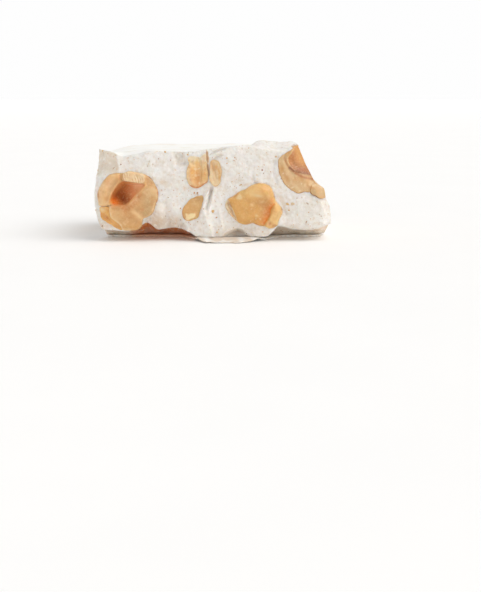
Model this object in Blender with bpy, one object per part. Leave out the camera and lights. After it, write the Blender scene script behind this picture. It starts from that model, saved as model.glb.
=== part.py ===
"""Nougat slice: a portion of hard white nougat with whole and broken hazelnuts,
between two sheets of edible wafer.  Metres, +Z up, origin at the middle of the
base.  The front (-Y) and the back (+Y) are broken faces, the left and the right
are cut faces, and the slice rests on its lower wafer.

Sizes below are in millimetres and are turned into metres by MM.
"""
import math

import bmesh
import bpy
from mathutils import Vector, noise

MM = 0.001

# ---- driving dimensions (mm) ----------------------------------------------
Y_FRONT = -15.3          # mean plane of the broken front
Y_BACK = 18.5            # mean plane of the broken back
X_MIDDLE = -0.087        # these two bring the middle of the whole, hazelnuts and
Y_MIDDLE = -1.371        # all, to x = 0 and y = 0
WAFER = 0.45             # thickness of a wafer sheet
GAP = 0.30               # air between touching pieces
FLOOR_Z = WAFER + GAP    # underside of the nougat
TOP_BACK = 20.1          # outer height along the back edge
HUMP = 1.9               # rise of the broken facet at the top right
HUMP_FROM, HUMP_TO = 8.0, 21.0
FLAP_OUT = 3.3           # how far the lower wafer sticks out at the front
FLAP_FROM, FLAP_TO = -4.5, 11.5
EDGE_BACK = 5.2          # the lower wafer stops this far behind the front elsewhere

# outer lines of the broken front: half-width positions by height, heights by x
LEFT_LINE = [(0.0, -24.4), (2.7, -25.1), (5.4, -26.2), (9.1, -26.8), (13.7, -26.2), (20.5, -25.4)]
RIGHT_LINE = [(0.0, 25.6), (3.8, 26.8), (6.9, 26.7), (10.1, 25.4), (11.9, 25.0), (12.9, 23.4), (15.8, 21.6), (21.4, 19.0)]
LEFT_BACK = [(0.0, -25.4), (8.0, -26.2), (20.5, -25.6)]
RIGHT_BACK = [(0.0, 26.0), (6.0, 26.0), (10.0, 24.4), (14.0, 22.6), (21.4, 19.6)]
TOP_LINE = [(-25.4, 20.5), (-22.5, 20.1), (-20.0, 19.2), (-16.6, 19.7), (-13.4, 20.3), (-5.8, 20.1), (0.0, 20.8), (7.0, 21.5), (10.7, 21.0), (13.8, 20.4), (18.8, 21.4)]
TOP_LINE_BACK = [(-26.0, 18.5), (-20.5, 19.7), (-15.0, 20.1), (18.0, 20.1), (22.0, 19.6)]
BOTTOM_LINE = [(-25.2, 2.6), (-19.0, 2.2), (-16.6, 3.4), (-14.6, 3.9), (-12.4, 2.4), (-9.0, 2.8), (-5.0, 1.9), (-3.5, 1.05), (4.0, 1.0), (12.0, 1.1), (15.0, 3.4), (18.0, 2.6), (21.4, 2.4), (26.8, 3.8)]

# grid lines of the block: across, from front to back, and up
U_LINES = [0.0, 0.035, 0.09, 0.15, 0.21, 0.27, 0.33, 0.40, 0.47, 0.54, 0.62, 0.66, 0.72, 0.79, 0.86, 0.93, 1.0]
V_LINES = [0.0, 0.05, 0.12, 0.20, 0.27, 0.45, 0.63, 0.81, 0.95, 1.0]
W_LINES = [0.0, 0.11, 0.25, 0.40, 0.56, 0.72, 0.88, 1.0]
U_FACET, V_FACET = 0.62, 0.27   # the upper wafer is broken off right of and before these

# hazelnuts in the broken front: middle (x, z), outline as (degrees, radius),
# how far the face stands out, and how deep the kernel sits
FRONT_NUTS = {
    "nut_hollow": dict(at=(-18.9, 9.4), out=0.5, deep=5.6, dome=0.7,
                       line=[(0, 6.75), (35, 6.7), (62, 6.5), (90, 6.3), (118, 6.6), (150, 6.9), (180, 6.9), (205, 6.7), (232, 4.9), (262, 6.6), (290, 6.7), (325, 6.2)]),
    "nut_hollow_chip": dict(at=(-23.05, 5.2), out=0.1, deep=2.4, dome=0.4,
                            line=[(0, 1.15), (60, 1.35), (120, 1.9), (180, 1.75), (230, 1.5), (290, 1.95), (320, 2.4)]),
    "nut_split_left": dict(at=(-3.4, 15.9), out=0.2, deep=5.0, dome=0.5,
                           line=[(0, 2.05), (50, 3.2), (90, 3.9), (125, 3.5), (180, 2.2), (235, 2.9), (265, 3.4), (300, 3.3), (335, 2.3)]),
    "nut_split_right": dict(at=(0.85, 15.0), out=0.3, deep=4.4, dome=0.5,
                            line=[(0, 1.35), (50, 2.1), (92, 3.0), (118, 2.5), (180, 1.1), (240, 1.7), (280, 2.8), (320, 1.9)]),
    "nut_small": dict(at=(-4.5, 7.6), out=0.1, deep=4.6, dome=0.4,
                      line=[(0, 1.9), (45, 2.7), (75, 2.75), (120, 2.0), (180, 2.15), (225, 2.85), (262, 2.75), (310, 2.1)]),
    "nut_whole": dict(at=(9.9, 8.2), out=1.2, deep=6.4, dome=2.3,
                      line=[(0, 5.5), (28, 4.9), (60, 4.8), (90, 5.0), (125, 4.8), (160, 5.6), (185, 5.9), (215, 5.3), (250, 4.6), (285, 4.8), (318, 6.4), (340, 6.3)]),
}

# hazelnuts cut through at the two cut faces, the corner and the back:
# middle, half sizes and turn about the axis that points out of the face
CUT_NUTS = {
    "nut_corner": dict(at=(19.9, -12.2, 16.1), half=(6.1, 6.0, 6.5), turn=0.0, about="Y"),
    "nut_corner_chip": dict(at=(23.7, -13.7, 11.3), half=(2.4, 3.0, 1.9), turn=-14.0, about="Y"),
    "nut_left_1": dict(at=(-23.6, -1.6, 11.2), half=(6.0, 4.7, 6.6), turn=9.0, about="X"),
    "nut_left_2": dict(at=(-24.9, 9.4, 7.6), half=(5.0, 4.6, 5.2), turn=-25.0, about="X"),
    "nut_left_3": dict(at=(-25.1, -9.6, 16.4), half=(2.4, 2.2, 2.7), turn=-20.0, about="X"),
    "nut_left_4": dict(at=(-25.0, 12.6, 16.0), half=(2.6, 1.9, 2.3), turn=15.0, about="X"),
    "nut_right_1": dict(at=(24.1, -0.8, 8.0), half=(5.6, 5.2, 6.2), turn=12.0, about="X"),
    "nut_right_2": dict(at=(21.3, 8.9, 14.0), half=(5.0, 4.4, 4.8), turn=-14.0, about="X"),
    "nut_right_3": dict(at=(25.4, 12.4, 4.8), half=(3.4, 3.6, 2.8), turn=10.0, about="X"),
    "nut_right_4": dict(at=(25.3, -9.8, 6.4), half=(2.4, 2.4, 2.3), turn=18.0, about="X"),
}
BACK_NUTS = {
    "nut_back_1": dict(at=(14.8, 7.6), out=0.8, deep=6.0, dome=1.9, size=(5.9, 5.2), turn=20.0),
    "nut_back_2": dict(at=(4.6, 13.6), out=0.2, deep=5.4, dome=0.5, size=(5.2, 4.5), turn=-30.0),
    "nut_back_3": dict(at=(-6.6, 8.2), out=1.0, deep=6.2, dome=2.2, size=(5.5, 6.2), turn=10.0),
    "nut_back_4": dict(at=(-17.2, 13.2), out=0.3, deep=5.0, dome=0.6, size=(5.0, 4.4), turn=35.0),
    "nut_back_5": dict(at=(-16.6, 4.4), out=0.2, deep=3.0, dome=0.5, size=(3.4, 2.2), turn=-8.0),
}

# a chip lies against the piece that it broke away from, which shapes its side
BROKEN_FROM = {"nut_hollow_chip": "nut_hollow", "nut_split_right": "nut_split_left"}

NOUGAT_RGB = (0.80, 0.76, 0.68)
WAFER_RGB = (0.88, 0.87, 0.83)
KERNEL_RGB = (0.68, 0.42, 0.18)


# ---- small helpers ----------------------------------------------------------
def clamp(t):
    return 0.0 if t < 0.0 else 1.0 if t > 1.0 else t


def ease(a, b, t):
    """0 below a, 1 above b, smooth between (a may be above b)."""
    s = clamp((t - a) / (b - a))
    return s * s * (3.0 - 2.0 * s)


def mix(a, b, t):
    return a + (b - a) * t


def line_at(line, t):
    """Height of a broken line with eased corners."""
    if t <= line[0][0]:
        return line[0][1]
    for (t0, a), (t1, b) in zip(line, line[1:]):
        if t <= t1:
            return mix(a, b, (t - t0) / (t1 - t0))
    return line[-1][1]


def ring_at(line, degrees):
    """Radius of a closed outline, by a smooth cubic through its points."""
    n = len(line)
    a = degrees % 360.0
    for i in range(n):
        a0 = line[i][0]
        a1 = line[(i + 1) % n][0] + (360.0 if i == n - 1 else 0.0)
        if a0 <= a <= a1:
            break
    t = (a - a0) / (a1 - a0)
    p0, p1, p2, p3 = (line[(i + k) % n][1] for k in (-1, 0, 1, 2))
    return 0.5 * (2 * p1 + (p2 - p0) * t + (2 * p0 - 5 * p1 + 4 * p2 - p3) * t * t + (3 * p1 - p0 - 3 * p2 + p3) * t ** 3)


def mound(x, z, cx, cz, rx, rz, height, turn=0.0):
    """A smooth rise of the given height over an oval."""
    c, s = math.cos(math.radians(turn)), math.sin(math.radians(turn))
    p, q = (x - cx) * c + (z - cz) * s, (z - cz) * c - (x - cx) * s
    return height * math.exp(-((p / rx) ** 2 + (q / rz) ** 2))


def seam(x, z, x0, z0, x1, z1, width, height):
    """A smooth ridge or groove along a straight line."""
    dx, dz = x1 - x0, z1 - z0
    t = clamp(((x - x0) * dx + (z - z0) * dz) / (dx * dx + dz * dz))
    d = math.hypot(x - x0 - t * dx, z - z0 - t * dz)
    return height * math.exp(-(d / width) ** 2)


def wobble(x, y, z, size, seed):
    return noise.noise(Vector((x / size + seed * 7.3, y / size, z / size - seed * 3.1)))


# ---- the broken faces: how far the surface lies behind its mean plane -------
def front_relief(x, z):
    d = 0.0
    d += 1.7 * ease(-23.6, -26.8, x)                               # rounded left edge
    d += 0.42 * max(0.0, -21.0 - x) * ease(14.0, 17.0, z)          # facet at the upper left
    d += 1.2 * ease(2.2, 0.0, line_at(RIGHT_LINE, z) - x)           # rounded right edge
    d += 2.3 * ease(7.5, 2.0, z) * ease(-17.0, -14.5, x) * ease(-5.0, -8.5, x)   # undercut lobe
    d += 0.9 * ease(4.0, 1.5, z) * ease(-14.0, -19.0, x)
    d += 1.5 * ease(4.5, 1.5, z) * ease(13.5, 16.5, x)
    d -= mound(x, z, 2.2, 4.2, 3.6, 3.6, 1.2)                       # foot that stands on the flap
    d -= mound(x, z, 11.0, 2.6, 2.6, 2.0, 0.8)
    d += mound(x, z, 5.8, 1.0, 2.6, 2.0, 1.5)                       # small hollow in the foot
    d += mound(x, z, -7.6, 18.4, 1.9, 1.7, 0.5)                     # dent near the top
    d += seam(x, z, -0.6, 11.6, -1.2, 7.0, 0.5, 0.7)                # groove between two folds
    d -= seam(x, z, -2.2, 11.2, 0.2, 1.0, 0.8, 0.6)                 # fold that runs to the foot
    d += 0.28 * wobble(x, 0.0, z, 6.0, 1) + 0.16 * wobble(x, 0.0, z, 2.6, 2)
    return d


def back_relief(x, z):
    d = 1.3 * ease(-23.0, -26.0, x) + 1.2 * ease(23.5, 26.5, x)
    d += 0.9 * ease(4.0, 1.0, z) * ease(-4.0, 6.0, x)
    d += mound(x, z, -2.0, 16.0, 5.0, 3.0, 0.9, 20) - mound(x, z, 12.0, 15.0, 4.0, 3.0, 0.8)
    d -= mound(x, z, -11.5, 4.0, 3.0, 3.0, 0.8)
    d += 0.45 * wobble(x, 0.0, z, 7.0, 5) + 0.2 * wobble(x, 0.0, z, 3.0, 6)
    return d


# ---- the block ---------------------------------------------------------------
def top_z(x, v):
    """Outer top of the slice, over the upper wafer."""
    z = mix(line_at(TOP_LINE, x), line_at(TOP_LINE_BACK, x), ease(0.0, 0.30, v))
    across = ease(HUMP_FROM - 1.0, HUMP_FROM + 3.0, x)
    along = ease(0.0, 0.17, v) * (1.0 - 0.95 * ease(0.22, 0.55, v))
    return z + HUMP * across * along + 0.10 * wobble(x, v * 30.0, 0.0, 7.0, 9)


def covered(u, v):
    """1 where the upper wafer lies on the nougat, 0 on the broken facet."""
    return 1.0 if (u < U_FACET + 0.01 or v > V_FACET - 0.01) else 0.0


def block_point(u, v, w, cover=None):
    x_low = mix(mix(line_at(LEFT_LINE, 21.0 * w), line_at(LEFT_BACK, 21.0 * w), v),
                mix(line_at(RIGHT_LINE, 21.0 * w), line_at(RIGHT_BACK, 21.0 * w), v), u)
    top = top_z(x_low, v) - (WAFER + GAP) * (covered(u, v) if cover is None else cover)
    low = mix(line_at(BOTTOM_LINE, x_low), FLOOR_Z, ease(0.0, 0.20, v))
    z = mix(low, top, w)
    y = mix(Y_FRONT + front_relief(x_low, z), Y_BACK - back_relief(x_low, z), v)
    x = x_low
    side = 0.12 * wobble(0.0, y, z, 5.0, 11) * (1.0 if u in (0.0, 1.0) else 0.0)
    return Vector((x + side, y, z))


def finish(obj, rgb, rough):
    mat = bpy.data.materials.new(obj.name + "_material")
    mat.use_nodes = True
    shader = mat.node_tree.nodes["Principled BSDF"]
    shader.inputs["Base Color"].default_value = (*rgb, 1.0)
    shader.inputs["Roughness"].default_value = rough
    shader.inputs["Metallic"].default_value = 0.0
    mat.diffuse_color = (*rgb, 1.0)
    obj.data.materials.clear()
    obj.data.materials.append(mat)


def mesh_object(name, points, faces, rgb=NOUGAT_RGB, rough=0.6):
    """One closed mesh; points in millimetres."""
    mesh = bpy.data.meshes.new(name)
    mesh.from_pydata([((x + X_MIDDLE) * MM, (y + Y_MIDDLE) * MM, z * MM) for x, y, z in points], [], faces)
    bm = bmesh.new()
    bm.from_mesh(mesh)
    bmesh.ops.triangulate(bm, faces=bm.faces[:])
    bmesh.ops.recalc_face_normals(bm, faces=bm.faces[:])
    bm.to_mesh(mesh)
    bm.free()
    mesh.shade_smooth()
    mesh.set_sharp_from_angle(angle=math.radians(40))
    obj = bpy.data.objects.new(name, mesh)
    bpy.context.scene.collection.objects.link(obj)
    finish(obj, rgb, rough)
    return obj


def block(name):
    """The whole nougat before its hazelnuts are let in: a grid over six faces."""
    nu, nv, nw = len(U_LINES) - 1, len(V_LINES) - 1, len(W_LINES) - 1
    index, points, faces = {}, [], []

    def vert(i, j, k):
        if (i, j, k) not in index:
            index[i, j, k] = len(points)
            points.append(block_point(U_LINES[i], V_LINES[j], W_LINES[k]))
        return index[i, j, k]

    for i in range(nu):
        for k in range(nw):
            faces.append([vert(i, 0, k), vert(i + 1, 0, k), vert(i + 1, 0, k + 1), vert(i, 0, k + 1)])
            faces.append([vert(i, nv, k), vert(i, nv, k + 1), vert(i + 1, nv, k + 1), vert(i + 1, nv, k)])
    for i in range(nu):
        for j in range(nv):
            faces.append([vert(i, j, nw), vert(i + 1, j, nw), vert(i + 1, j + 1, nw), vert(i, j + 1, nw)])
            faces.append([vert(i, j, 0), vert(i, j + 1, 0), vert(i + 1, j + 1, 0), vert(i + 1, j, 0)])
    for j in range(nv):
        for k in range(nw):
            faces.append([vert(0, j, k), vert(0, j, k + 1), vert(0, j + 1, k + 1), vert(0, j + 1, k)])
            faces.append([vert(nu, j, k), vert(nu, j + 1, k), vert(nu, j + 1, k + 1), vert(nu, j, k + 1)])
    return mesh_object(name, points, faces)


# ---- wafer sheets --------------------------------------------------------------
def wafer_top():
    """The upper sheet: cells of the top grid, less the broken facet."""
    nu, nv = len(U_LINES) - 1, len(V_LINES) - 1
    cells = [(i, j) for i in range(nu) for j in range(nv)
             if U_LINES[i + 1] <= U_FACET + 0.001 or V_LINES[j] >= V_FACET - 0.001]
    index, points, faces = {}, [], []

    def vert(i, j, level):
        if (i, j, level) not in index:
            u, v = 0.006 + 0.988 * U_LINES[i], 0.012 + 0.976 * V_LINES[j]
            p = block_point(u, v, 1.0, cover=0.0)
            at = block_point(U_LINES[i], V_LINES[j], 1.0, cover=0.0)
            index[i, j, level] = len(points)
            points.append((p.x, p.y, at.z - (0.0 if level else WAFER)))
        return index[i, j, level]

    edges = {}
    for i, j in cells:
        loop = [(i, j), (i + 1, j), (i + 1, j + 1), (i, j + 1)]
        faces.append([vert(a, b, 1) for a, b in loop])
        faces.append([vert(a, b, 0) for a, b in reversed(loop)])
        for a, b in zip(loop, loop[1:] + loop[:1]):
            edges[(a, b)] = edges.get((a, b), 0) + 1
    for a, b in edges:
        if (b, a) not in edges:
            faces.append([vert(*b, 1), vert(*a, 1), vert(*a, 0), vert(*b, 0)])
    return mesh_object("wafer_top", points, faces, WAFER_RGB, 0.7)


def flap_amount(x):
    return ease(FLAP_FROM - 1.5, FLAP_FROM + 5.0, x) * ease(FLAP_TO + 1.5, FLAP_TO - 4.5, x)


def wafer_bottom():
    """The lower sheet: flat on the floor, with a curled flap at the front."""
    nx, rows = 26, [0.0, 0.35, 0.75, 1.0]
    count = len(rows) + 4
    points, faces = [], []
    for level in (0, 1):
        for i in range(nx + 1):
            s = i / nx
            for r in range(count):
                t = r / (count - 1)
                y_back = Y_BACK - 1.0
                x = mix(-24.6, 25.0, s)
                y_lip = Y_FRONT + mix(EDGE_BACK, -FLAP_OUT, flap_amount(x)) + 0.25 * wobble(x, 0.0, 0.0, 2.2, 21)
                if r < len(rows):
                    y = mix(y_lip, Y_FRONT + EDGE_BACK + 1.0, rows[r])
                else:
                    y = mix(Y_FRONT + EDGE_BACK + 1.0, y_back, (r - len(rows) + 1) / (count - len(rows)))
                out = clamp((Y_FRONT + 1.5 - y) / (FLAP_OUT + 1.5))
                curl = (0.12 + 0.55 * clamp(abs(x - 3.8) / 8.0)) * out
                points.append((x, y, curl + level * WAFER))
    def vert(level, i, r):
        return (level * (nx + 1) + i) * count + r
    for i in range(nx):
        for r in range(count - 1):
            faces.append([vert(1, i, r), vert(1, i + 1, r), vert(1, i + 1, r + 1), vert(1, i, r + 1)])
            faces.append([vert(0, i, r), vert(0, i, r + 1), vert(0, i + 1, r + 1), vert(0, i + 1, r)])
    for i in range(nx):
        faces.append([vert(0, i, 0), vert(0, i + 1, 0), vert(1, i + 1, 0), vert(1, i, 0)])
        faces.append([vert(0, i + 1, count - 1), vert(0, i, count - 1), vert(1, i, count - 1), vert(1, i + 1, count - 1)])
    for r in range(count - 1):
        faces.append([vert(0, 0, r + 1), vert(0, 0, r), vert(1, 0, r), vert(1, 0, r + 1)])
        faces.append([vert(0, nx, r), vert(0, nx, r + 1), vert(1, nx, r + 1), vert(1, nx, r)])
    return mesh_object("wafer_bottom", points, faces, WAFER_RGB, 0.7)


# ---- hazelnuts --------------------------------------------------------------------
def kernel(name, at, line, face_y, sign, out, deep, dome, hollow=None, grow=0.0, seg=16):
    """A kernel seen at a broken face.  Its outline lies in the face, a low dome
    stands out, and half an ellipsoid sits in the nougat.  sign is +1 for the
    front and -1 for the back; grow makes the cutter for its bed, which runs out
    through the face instead of doming."""
    cx, cz = at
    points, faces, rings = [], [], []

    def ring(share, offset):
        row = []
        for s in range(seg):
            a = 360.0 * s / seg
            r = (ring_at(line, a) + grow) * share
            x, z = cx + r * math.cos(math.radians(a)), cz + r * math.sin(math.radians(a))
            edge = face_y(x, z)
            row.append(len(points))
            points.append((x, edge + sign * offset(x, z), z))
        rings.append(row)

    def pole(offset):
        points.append((cx, face_y(cx, cz) + sign * offset(cx, cz), cz))
        return len(points) - 1

    if grow:
        first = pole(lambda x, z: -5.0)
        ring(1.0, lambda x, z: -5.0)
        ring(1.0, lambda x, z: -out)
    else:
        inner = (lambda x, z: hollow(x, z)) if hollow else (lambda x, z: 0.0)
        first = pole(lambda x, z: -out - dome + inner(x, z))
        for share in (0.36, 0.68, 0.9):
            ring(share, lambda x, z, q=share: -out - dome * math.sqrt(1 - q * q) + inner(x, z))
        ring(1.0, lambda x, z: -out + 0.0)
    for turn in (28, 54, 76):
        c, s_ = math.cos(math.radians(turn)), math.sin(math.radians(turn))
        ring(c, lambda x, z, q=s_: -out + (deep + grow) * q)
    last = pole(lambda x, z: -out + deep + grow)
    for s in range(seg):
        t = (s + 1) % seg
        faces.append([first, rings[0][s], rings[0][t]])
        for a, b in zip(rings, rings[1:]):
            faces.append([a[s], b[s], b[t], a[t]])
        faces.append([rings[-1][s], last, rings[-1][t]])
    return mesh_object(name, points, faces, KERNEL_RGB, 0.5)


def egg(name, at, half, turn, about, grow=0.0, seg=14, rows=8):
    """A whole kernel, slightly pointed at its top."""
    cx, cy, cz = at
    points, faces = [], []
    a = math.radians(turn)
    ca, sa = math.cos(a), math.sin(a)
    for r in range(rows + 1):
        p = math.pi * r / rows
        for s in range(seg if 0 < r < rows else 1):
            q = 2 * math.pi * s / seg
            x = (half[0] + grow) * math.sin(p) * math.cos(q)
            y = (half[1] + grow) * math.sin(p) * math.sin(q)
            z = (half[2] + grow) * math.cos(p)
            taper = 1.0 - 0.10 * math.cos(p)
            x, y = x * taper, y * taper
            if about == "X":
                y, z = y * ca - z * sa, y * sa + z * ca
            else:
                x, z = x * ca + z * sa, z * ca - x * sa
            points.append((cx + x, cy + y, cz + z))
    row = lambda r, s: 0 if r == 0 else (len(points) - 1 if r == rows else 1 + (r - 1) * seg + s % seg)
    for s in range(seg):
        faces.append([row(0, 0), row(1, s), row(1, s + 1)])
        for r in range(1, rows - 1):
            faces.append([row(r, s), row(r + 1, s), row(r + 1, s + 1), row(r, s + 1)])
        faces.append([row(rows - 1, s), row(rows, 0), row(rows - 1, s + 1)])
    return mesh_object(name, points, faces, KERNEL_RGB, 0.5)


def boolean(obj, other, how):
    mod = obj.modifiers.new(how.lower() + "_" + other.name, "BOOLEAN")
    mod.operation = how
    mod.solver = "EXACT"
    mod.object = other
    return mod


def guide(obj):
    obj.hide_render = True
    obj.display_type = "WIRE"
    return obj


def hollow_of_broken_kernel(x, z):
    """The hollow inside the broken kernel, seen between its raised halves."""
    return 3.0 * math.exp(-(((x + 19.6) / 3.4) ** 2 + ((z - 10.9) / 2.6) ** 2) ** 1.6)


def oval(size, turn):
    a, b = size
    line = []
    for k in range(10):
        t = math.radians(36.0 * k - turn)
        line.append((36.0 * k, a * b / math.hypot(b * math.cos(t), a * math.sin(t)) * (1.0 + 0.05 * math.sin(3 * t + a))))
    return line


def main():
    for obj in list(bpy.data.objects):
        bpy.data.objects.remove(obj)

    envelope = guide(block("guide_envelope"))
    nougat = block("nougat")
    wafer_top()
    wafer_bottom()

    front = lambda x, z: Y_FRONT + front_relief(x, z)
    back = lambda x, z: Y_BACK - back_relief(x, z)
    for name, n in FRONT_NUTS.items():
        hollow = hollow_of_broken_kernel if name == "nut_hollow" else None
        seg = 20 if name == "nut_hollow" else 14
        nut = kernel(name, n["at"], n["line"], front, 1, n["out"], n["deep"], n["dome"], hollow, seg=seg)
        if name in BROKEN_FROM:
            boolean(nut, bpy.data.objects["cut_" + BROKEN_FROM[name]], "DIFFERENCE")
        cutter = guide(kernel("cut_" + name, n["at"], n["line"], front, 1, n["out"], n["deep"], n["dome"], grow=GAP + 0.06, seg=seg))
        boolean(nougat, cutter, "DIFFERENCE")
    for name, n in BACK_NUTS.items():
        line = oval(n["size"], n["turn"])
        kernel(name, n["at"], line, back, -1, n["out"], n["deep"], n["dome"], seg=12)
        cutter = guide(kernel("cut_" + name, n["at"], line, back, -1, n["out"], n["deep"], n["dome"], grow=GAP + 0.06, seg=12))
        boolean(nougat, cutter, "DIFFERENCE")
    for name, n in CUT_NUTS.items():
        nut = egg(name, n["at"], n["half"], n["turn"], n["about"])
        boolean(nut, envelope, "INTERSECT")
        cutter = guide(egg("cut_" + name, n["at"], n["half"], n["turn"], n["about"], grow=GAP + 0.12))
        boolean(nougat, cutter, "DIFFERENCE")
        if name == "nut_corner_chip":
            boolean(bpy.data.objects["nut_corner"], cutter, "DIFFERENCE")


main()
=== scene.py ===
"""Looks of the nougat slice: a broken portion of hard white nougat with whole and
broken hazelnuts between two sheets of edible wafer.

Everything is worked out in millimetres in the slice's own frame and turned into
metres at the end.  The front (-Y) is the broken face, the left and right are cut
faces, the back (+Y) is broken too.
"""
import math

import bpy
import numpy as np
from mathutils import Matrix, Vector


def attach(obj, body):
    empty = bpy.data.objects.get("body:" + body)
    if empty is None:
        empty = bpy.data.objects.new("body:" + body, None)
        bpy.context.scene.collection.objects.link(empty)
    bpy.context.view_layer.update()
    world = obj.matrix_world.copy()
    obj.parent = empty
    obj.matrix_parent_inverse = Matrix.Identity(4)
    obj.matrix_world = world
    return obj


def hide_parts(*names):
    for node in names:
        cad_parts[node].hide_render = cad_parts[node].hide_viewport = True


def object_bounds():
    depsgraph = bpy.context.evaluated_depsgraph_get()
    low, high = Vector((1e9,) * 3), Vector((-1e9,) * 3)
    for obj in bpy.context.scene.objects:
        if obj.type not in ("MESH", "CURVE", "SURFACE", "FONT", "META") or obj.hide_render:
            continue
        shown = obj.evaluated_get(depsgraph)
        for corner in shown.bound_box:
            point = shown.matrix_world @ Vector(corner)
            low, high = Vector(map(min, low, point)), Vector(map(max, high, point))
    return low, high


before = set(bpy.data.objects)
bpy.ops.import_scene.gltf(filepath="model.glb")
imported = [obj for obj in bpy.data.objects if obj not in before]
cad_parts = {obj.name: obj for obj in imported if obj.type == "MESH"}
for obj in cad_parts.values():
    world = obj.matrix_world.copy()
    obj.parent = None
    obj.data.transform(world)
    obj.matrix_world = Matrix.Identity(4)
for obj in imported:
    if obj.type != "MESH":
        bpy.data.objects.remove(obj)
cad_low, cad_high = [Vector(c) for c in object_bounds()]

MM = 0.001
X_MIDDLE, Y_MIDDLE = -0.087, -1.371
Y_FRONT, Y_BACK = -15.3, 18.5
WAFER = 0.45
HUMP, HUMP_FROM = 1.9, 8.0
FLAP_OUT, FLAP_FROM, FLAP_TO, EDGE_BACK = 3.3, -4.5, 11.5, 7.6

LEFT_LINE = [(0.0, -24.4), (2.7, -25.1), (5.4, -26.2), (9.1, -26.8), (13.7, -26.2), (20.5, -25.4)]
RIGHT_LINE = [(0.0, 25.6), (3.8, 26.8), (6.9, 26.7), (10.1, 25.4), (11.9, 25.0), (12.9, 23.4), (15.8, 21.6), (21.4, 19.0)]
LEFT_BACK = [(0.0, -25.4), (8.0, -26.2), (20.5, -25.6)]
RIGHT_BACK = [(0.0, 26.0), (6.0, 26.0), (10.0, 24.4), (14.0, 22.6), (21.4, 19.6)]
TOP_LINE = [(-25.4, 20.5), (-22.5, 20.1), (-20.0, 19.2), (-16.6, 19.7), (-13.4, 20.3), (-5.8, 20.1), (0.0, 20.8), (7.0, 21.5), (10.7, 21.0), (13.8, 20.4), (18.8, 21.4)]
TOP_LINE_BACK = [(-26.0, 18.5), (-20.5, 19.7), (-15.0, 20.1), (18.0, 20.1), (22.0, 19.6)]
BOTTOM_LINE = [(-25.2, 2.6), (-19.0, 2.2), (-16.6, 3.4), (-14.6, 3.9), (-12.4, 2.4), (-9.0, 2.8), (-5.0, 1.9), (-3.5, 1.05), (4.0, 1.0), (12.0, 1.1), (15.0, 3.4), (18.0, 2.6), (21.4, 2.4), (26.8, 3.8)]

FRONT_NUTS = {
    "nut_hollow": dict(at=(-18.9, 9.4), deep=5.6),
    "nut_hollow_chip": dict(at=(-23.05, 5.2), deep=2.4),
    "nut_split_left": dict(at=(-3.4, 15.9), deep=5.0),
    "nut_split_right": dict(at=(0.85, 15.0), deep=4.4),
    "nut_small": dict(at=(-4.5, 7.6), deep=4.6),
    "nut_whole": dict(at=(9.9, 8.2), deep=6.4),
}
CUT_NUTS = {
    "nut_corner": dict(at=(19.9, -12.2, 16.1), half=(6.1, 6.0, 6.5), turn=0.0, about="Y"),
    "nut_corner_chip": dict(at=(23.7, -13.7, 11.3), half=(2.4, 3.0, 1.9), turn=-14.0, about="Y"),
    "nut_left_1": dict(at=(-23.6, -1.6, 11.2), half=(6.0, 4.7, 6.6), turn=9.0, about="X"),
    "nut_left_2": dict(at=(-24.9, 9.4, 7.6), half=(5.0, 4.6, 5.2), turn=-25.0, about="X"),
    "nut_left_3": dict(at=(-25.1, -9.6, 16.4), half=(2.4, 2.2, 2.7), turn=-20.0, about="X"),
    "nut_left_4": dict(at=(-25.0, 12.6, 16.0), half=(2.6, 1.9, 2.3), turn=15.0, about="X"),
    "nut_right_1": dict(at=(24.1, -0.8, 8.0), half=(5.6, 5.2, 6.2), turn=12.0, about="X"),
    "nut_right_2": dict(at=(21.3, 8.9, 14.0), half=(5.0, 4.4, 4.8), turn=-14.0, about="X"),
    "nut_right_3": dict(at=(25.4, 12.4, 4.8), half=(3.4, 3.6, 2.8), turn=10.0, about="X"),
    "nut_right_4": dict(at=(25.3, -9.8, 6.4), half=(2.4, 2.4, 2.3), turn=18.0, about="X"),
}
BACK_NUTS = {
    "nut_back_1": dict(at=(14.8, 7.6), out=0.8, deep=6.0, dome=1.9, size=(5.9, 5.2), turn=20.0),
    "nut_back_2": dict(at=(4.6, 13.6), out=0.2, deep=5.4, dome=0.5, size=(5.2, 4.5), turn=-30.0),
    "nut_back_3": dict(at=(-6.6, 8.2), out=1.0, deep=6.2, dome=2.2, size=(5.5, 6.2), turn=10.0),
    "nut_back_4": dict(at=(-17.2, 13.2), out=0.3, deep=5.0, dome=0.6, size=(5.0, 4.4), turn=35.0),
    "nut_back_5": dict(at=(-16.6, 4.4), out=0.2, deep=3.0, dome=0.5, size=(3.4, 2.2), turn=-8.0),
}
PX = 0.226               # millimetres per pixel of the reference frame, at the front


def spot(px, py):
    """A place on the broken front, from a pixel of the reference frame."""
    return (px - 212.5) * PX, (240.78 - py) * PX


def spots(*pairs):
    return [spot(*p) for p in pairs]


# ---- small helpers, on arrays ------------------------------------------------
def ease(a, b, t):
    s = np.clip((t - a) / (b - a), 0.0, 1.0)
    return s * s * (3.0 - 2.0 * s)


def mix(a, b, t):
    return a + (b - a) * t


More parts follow.
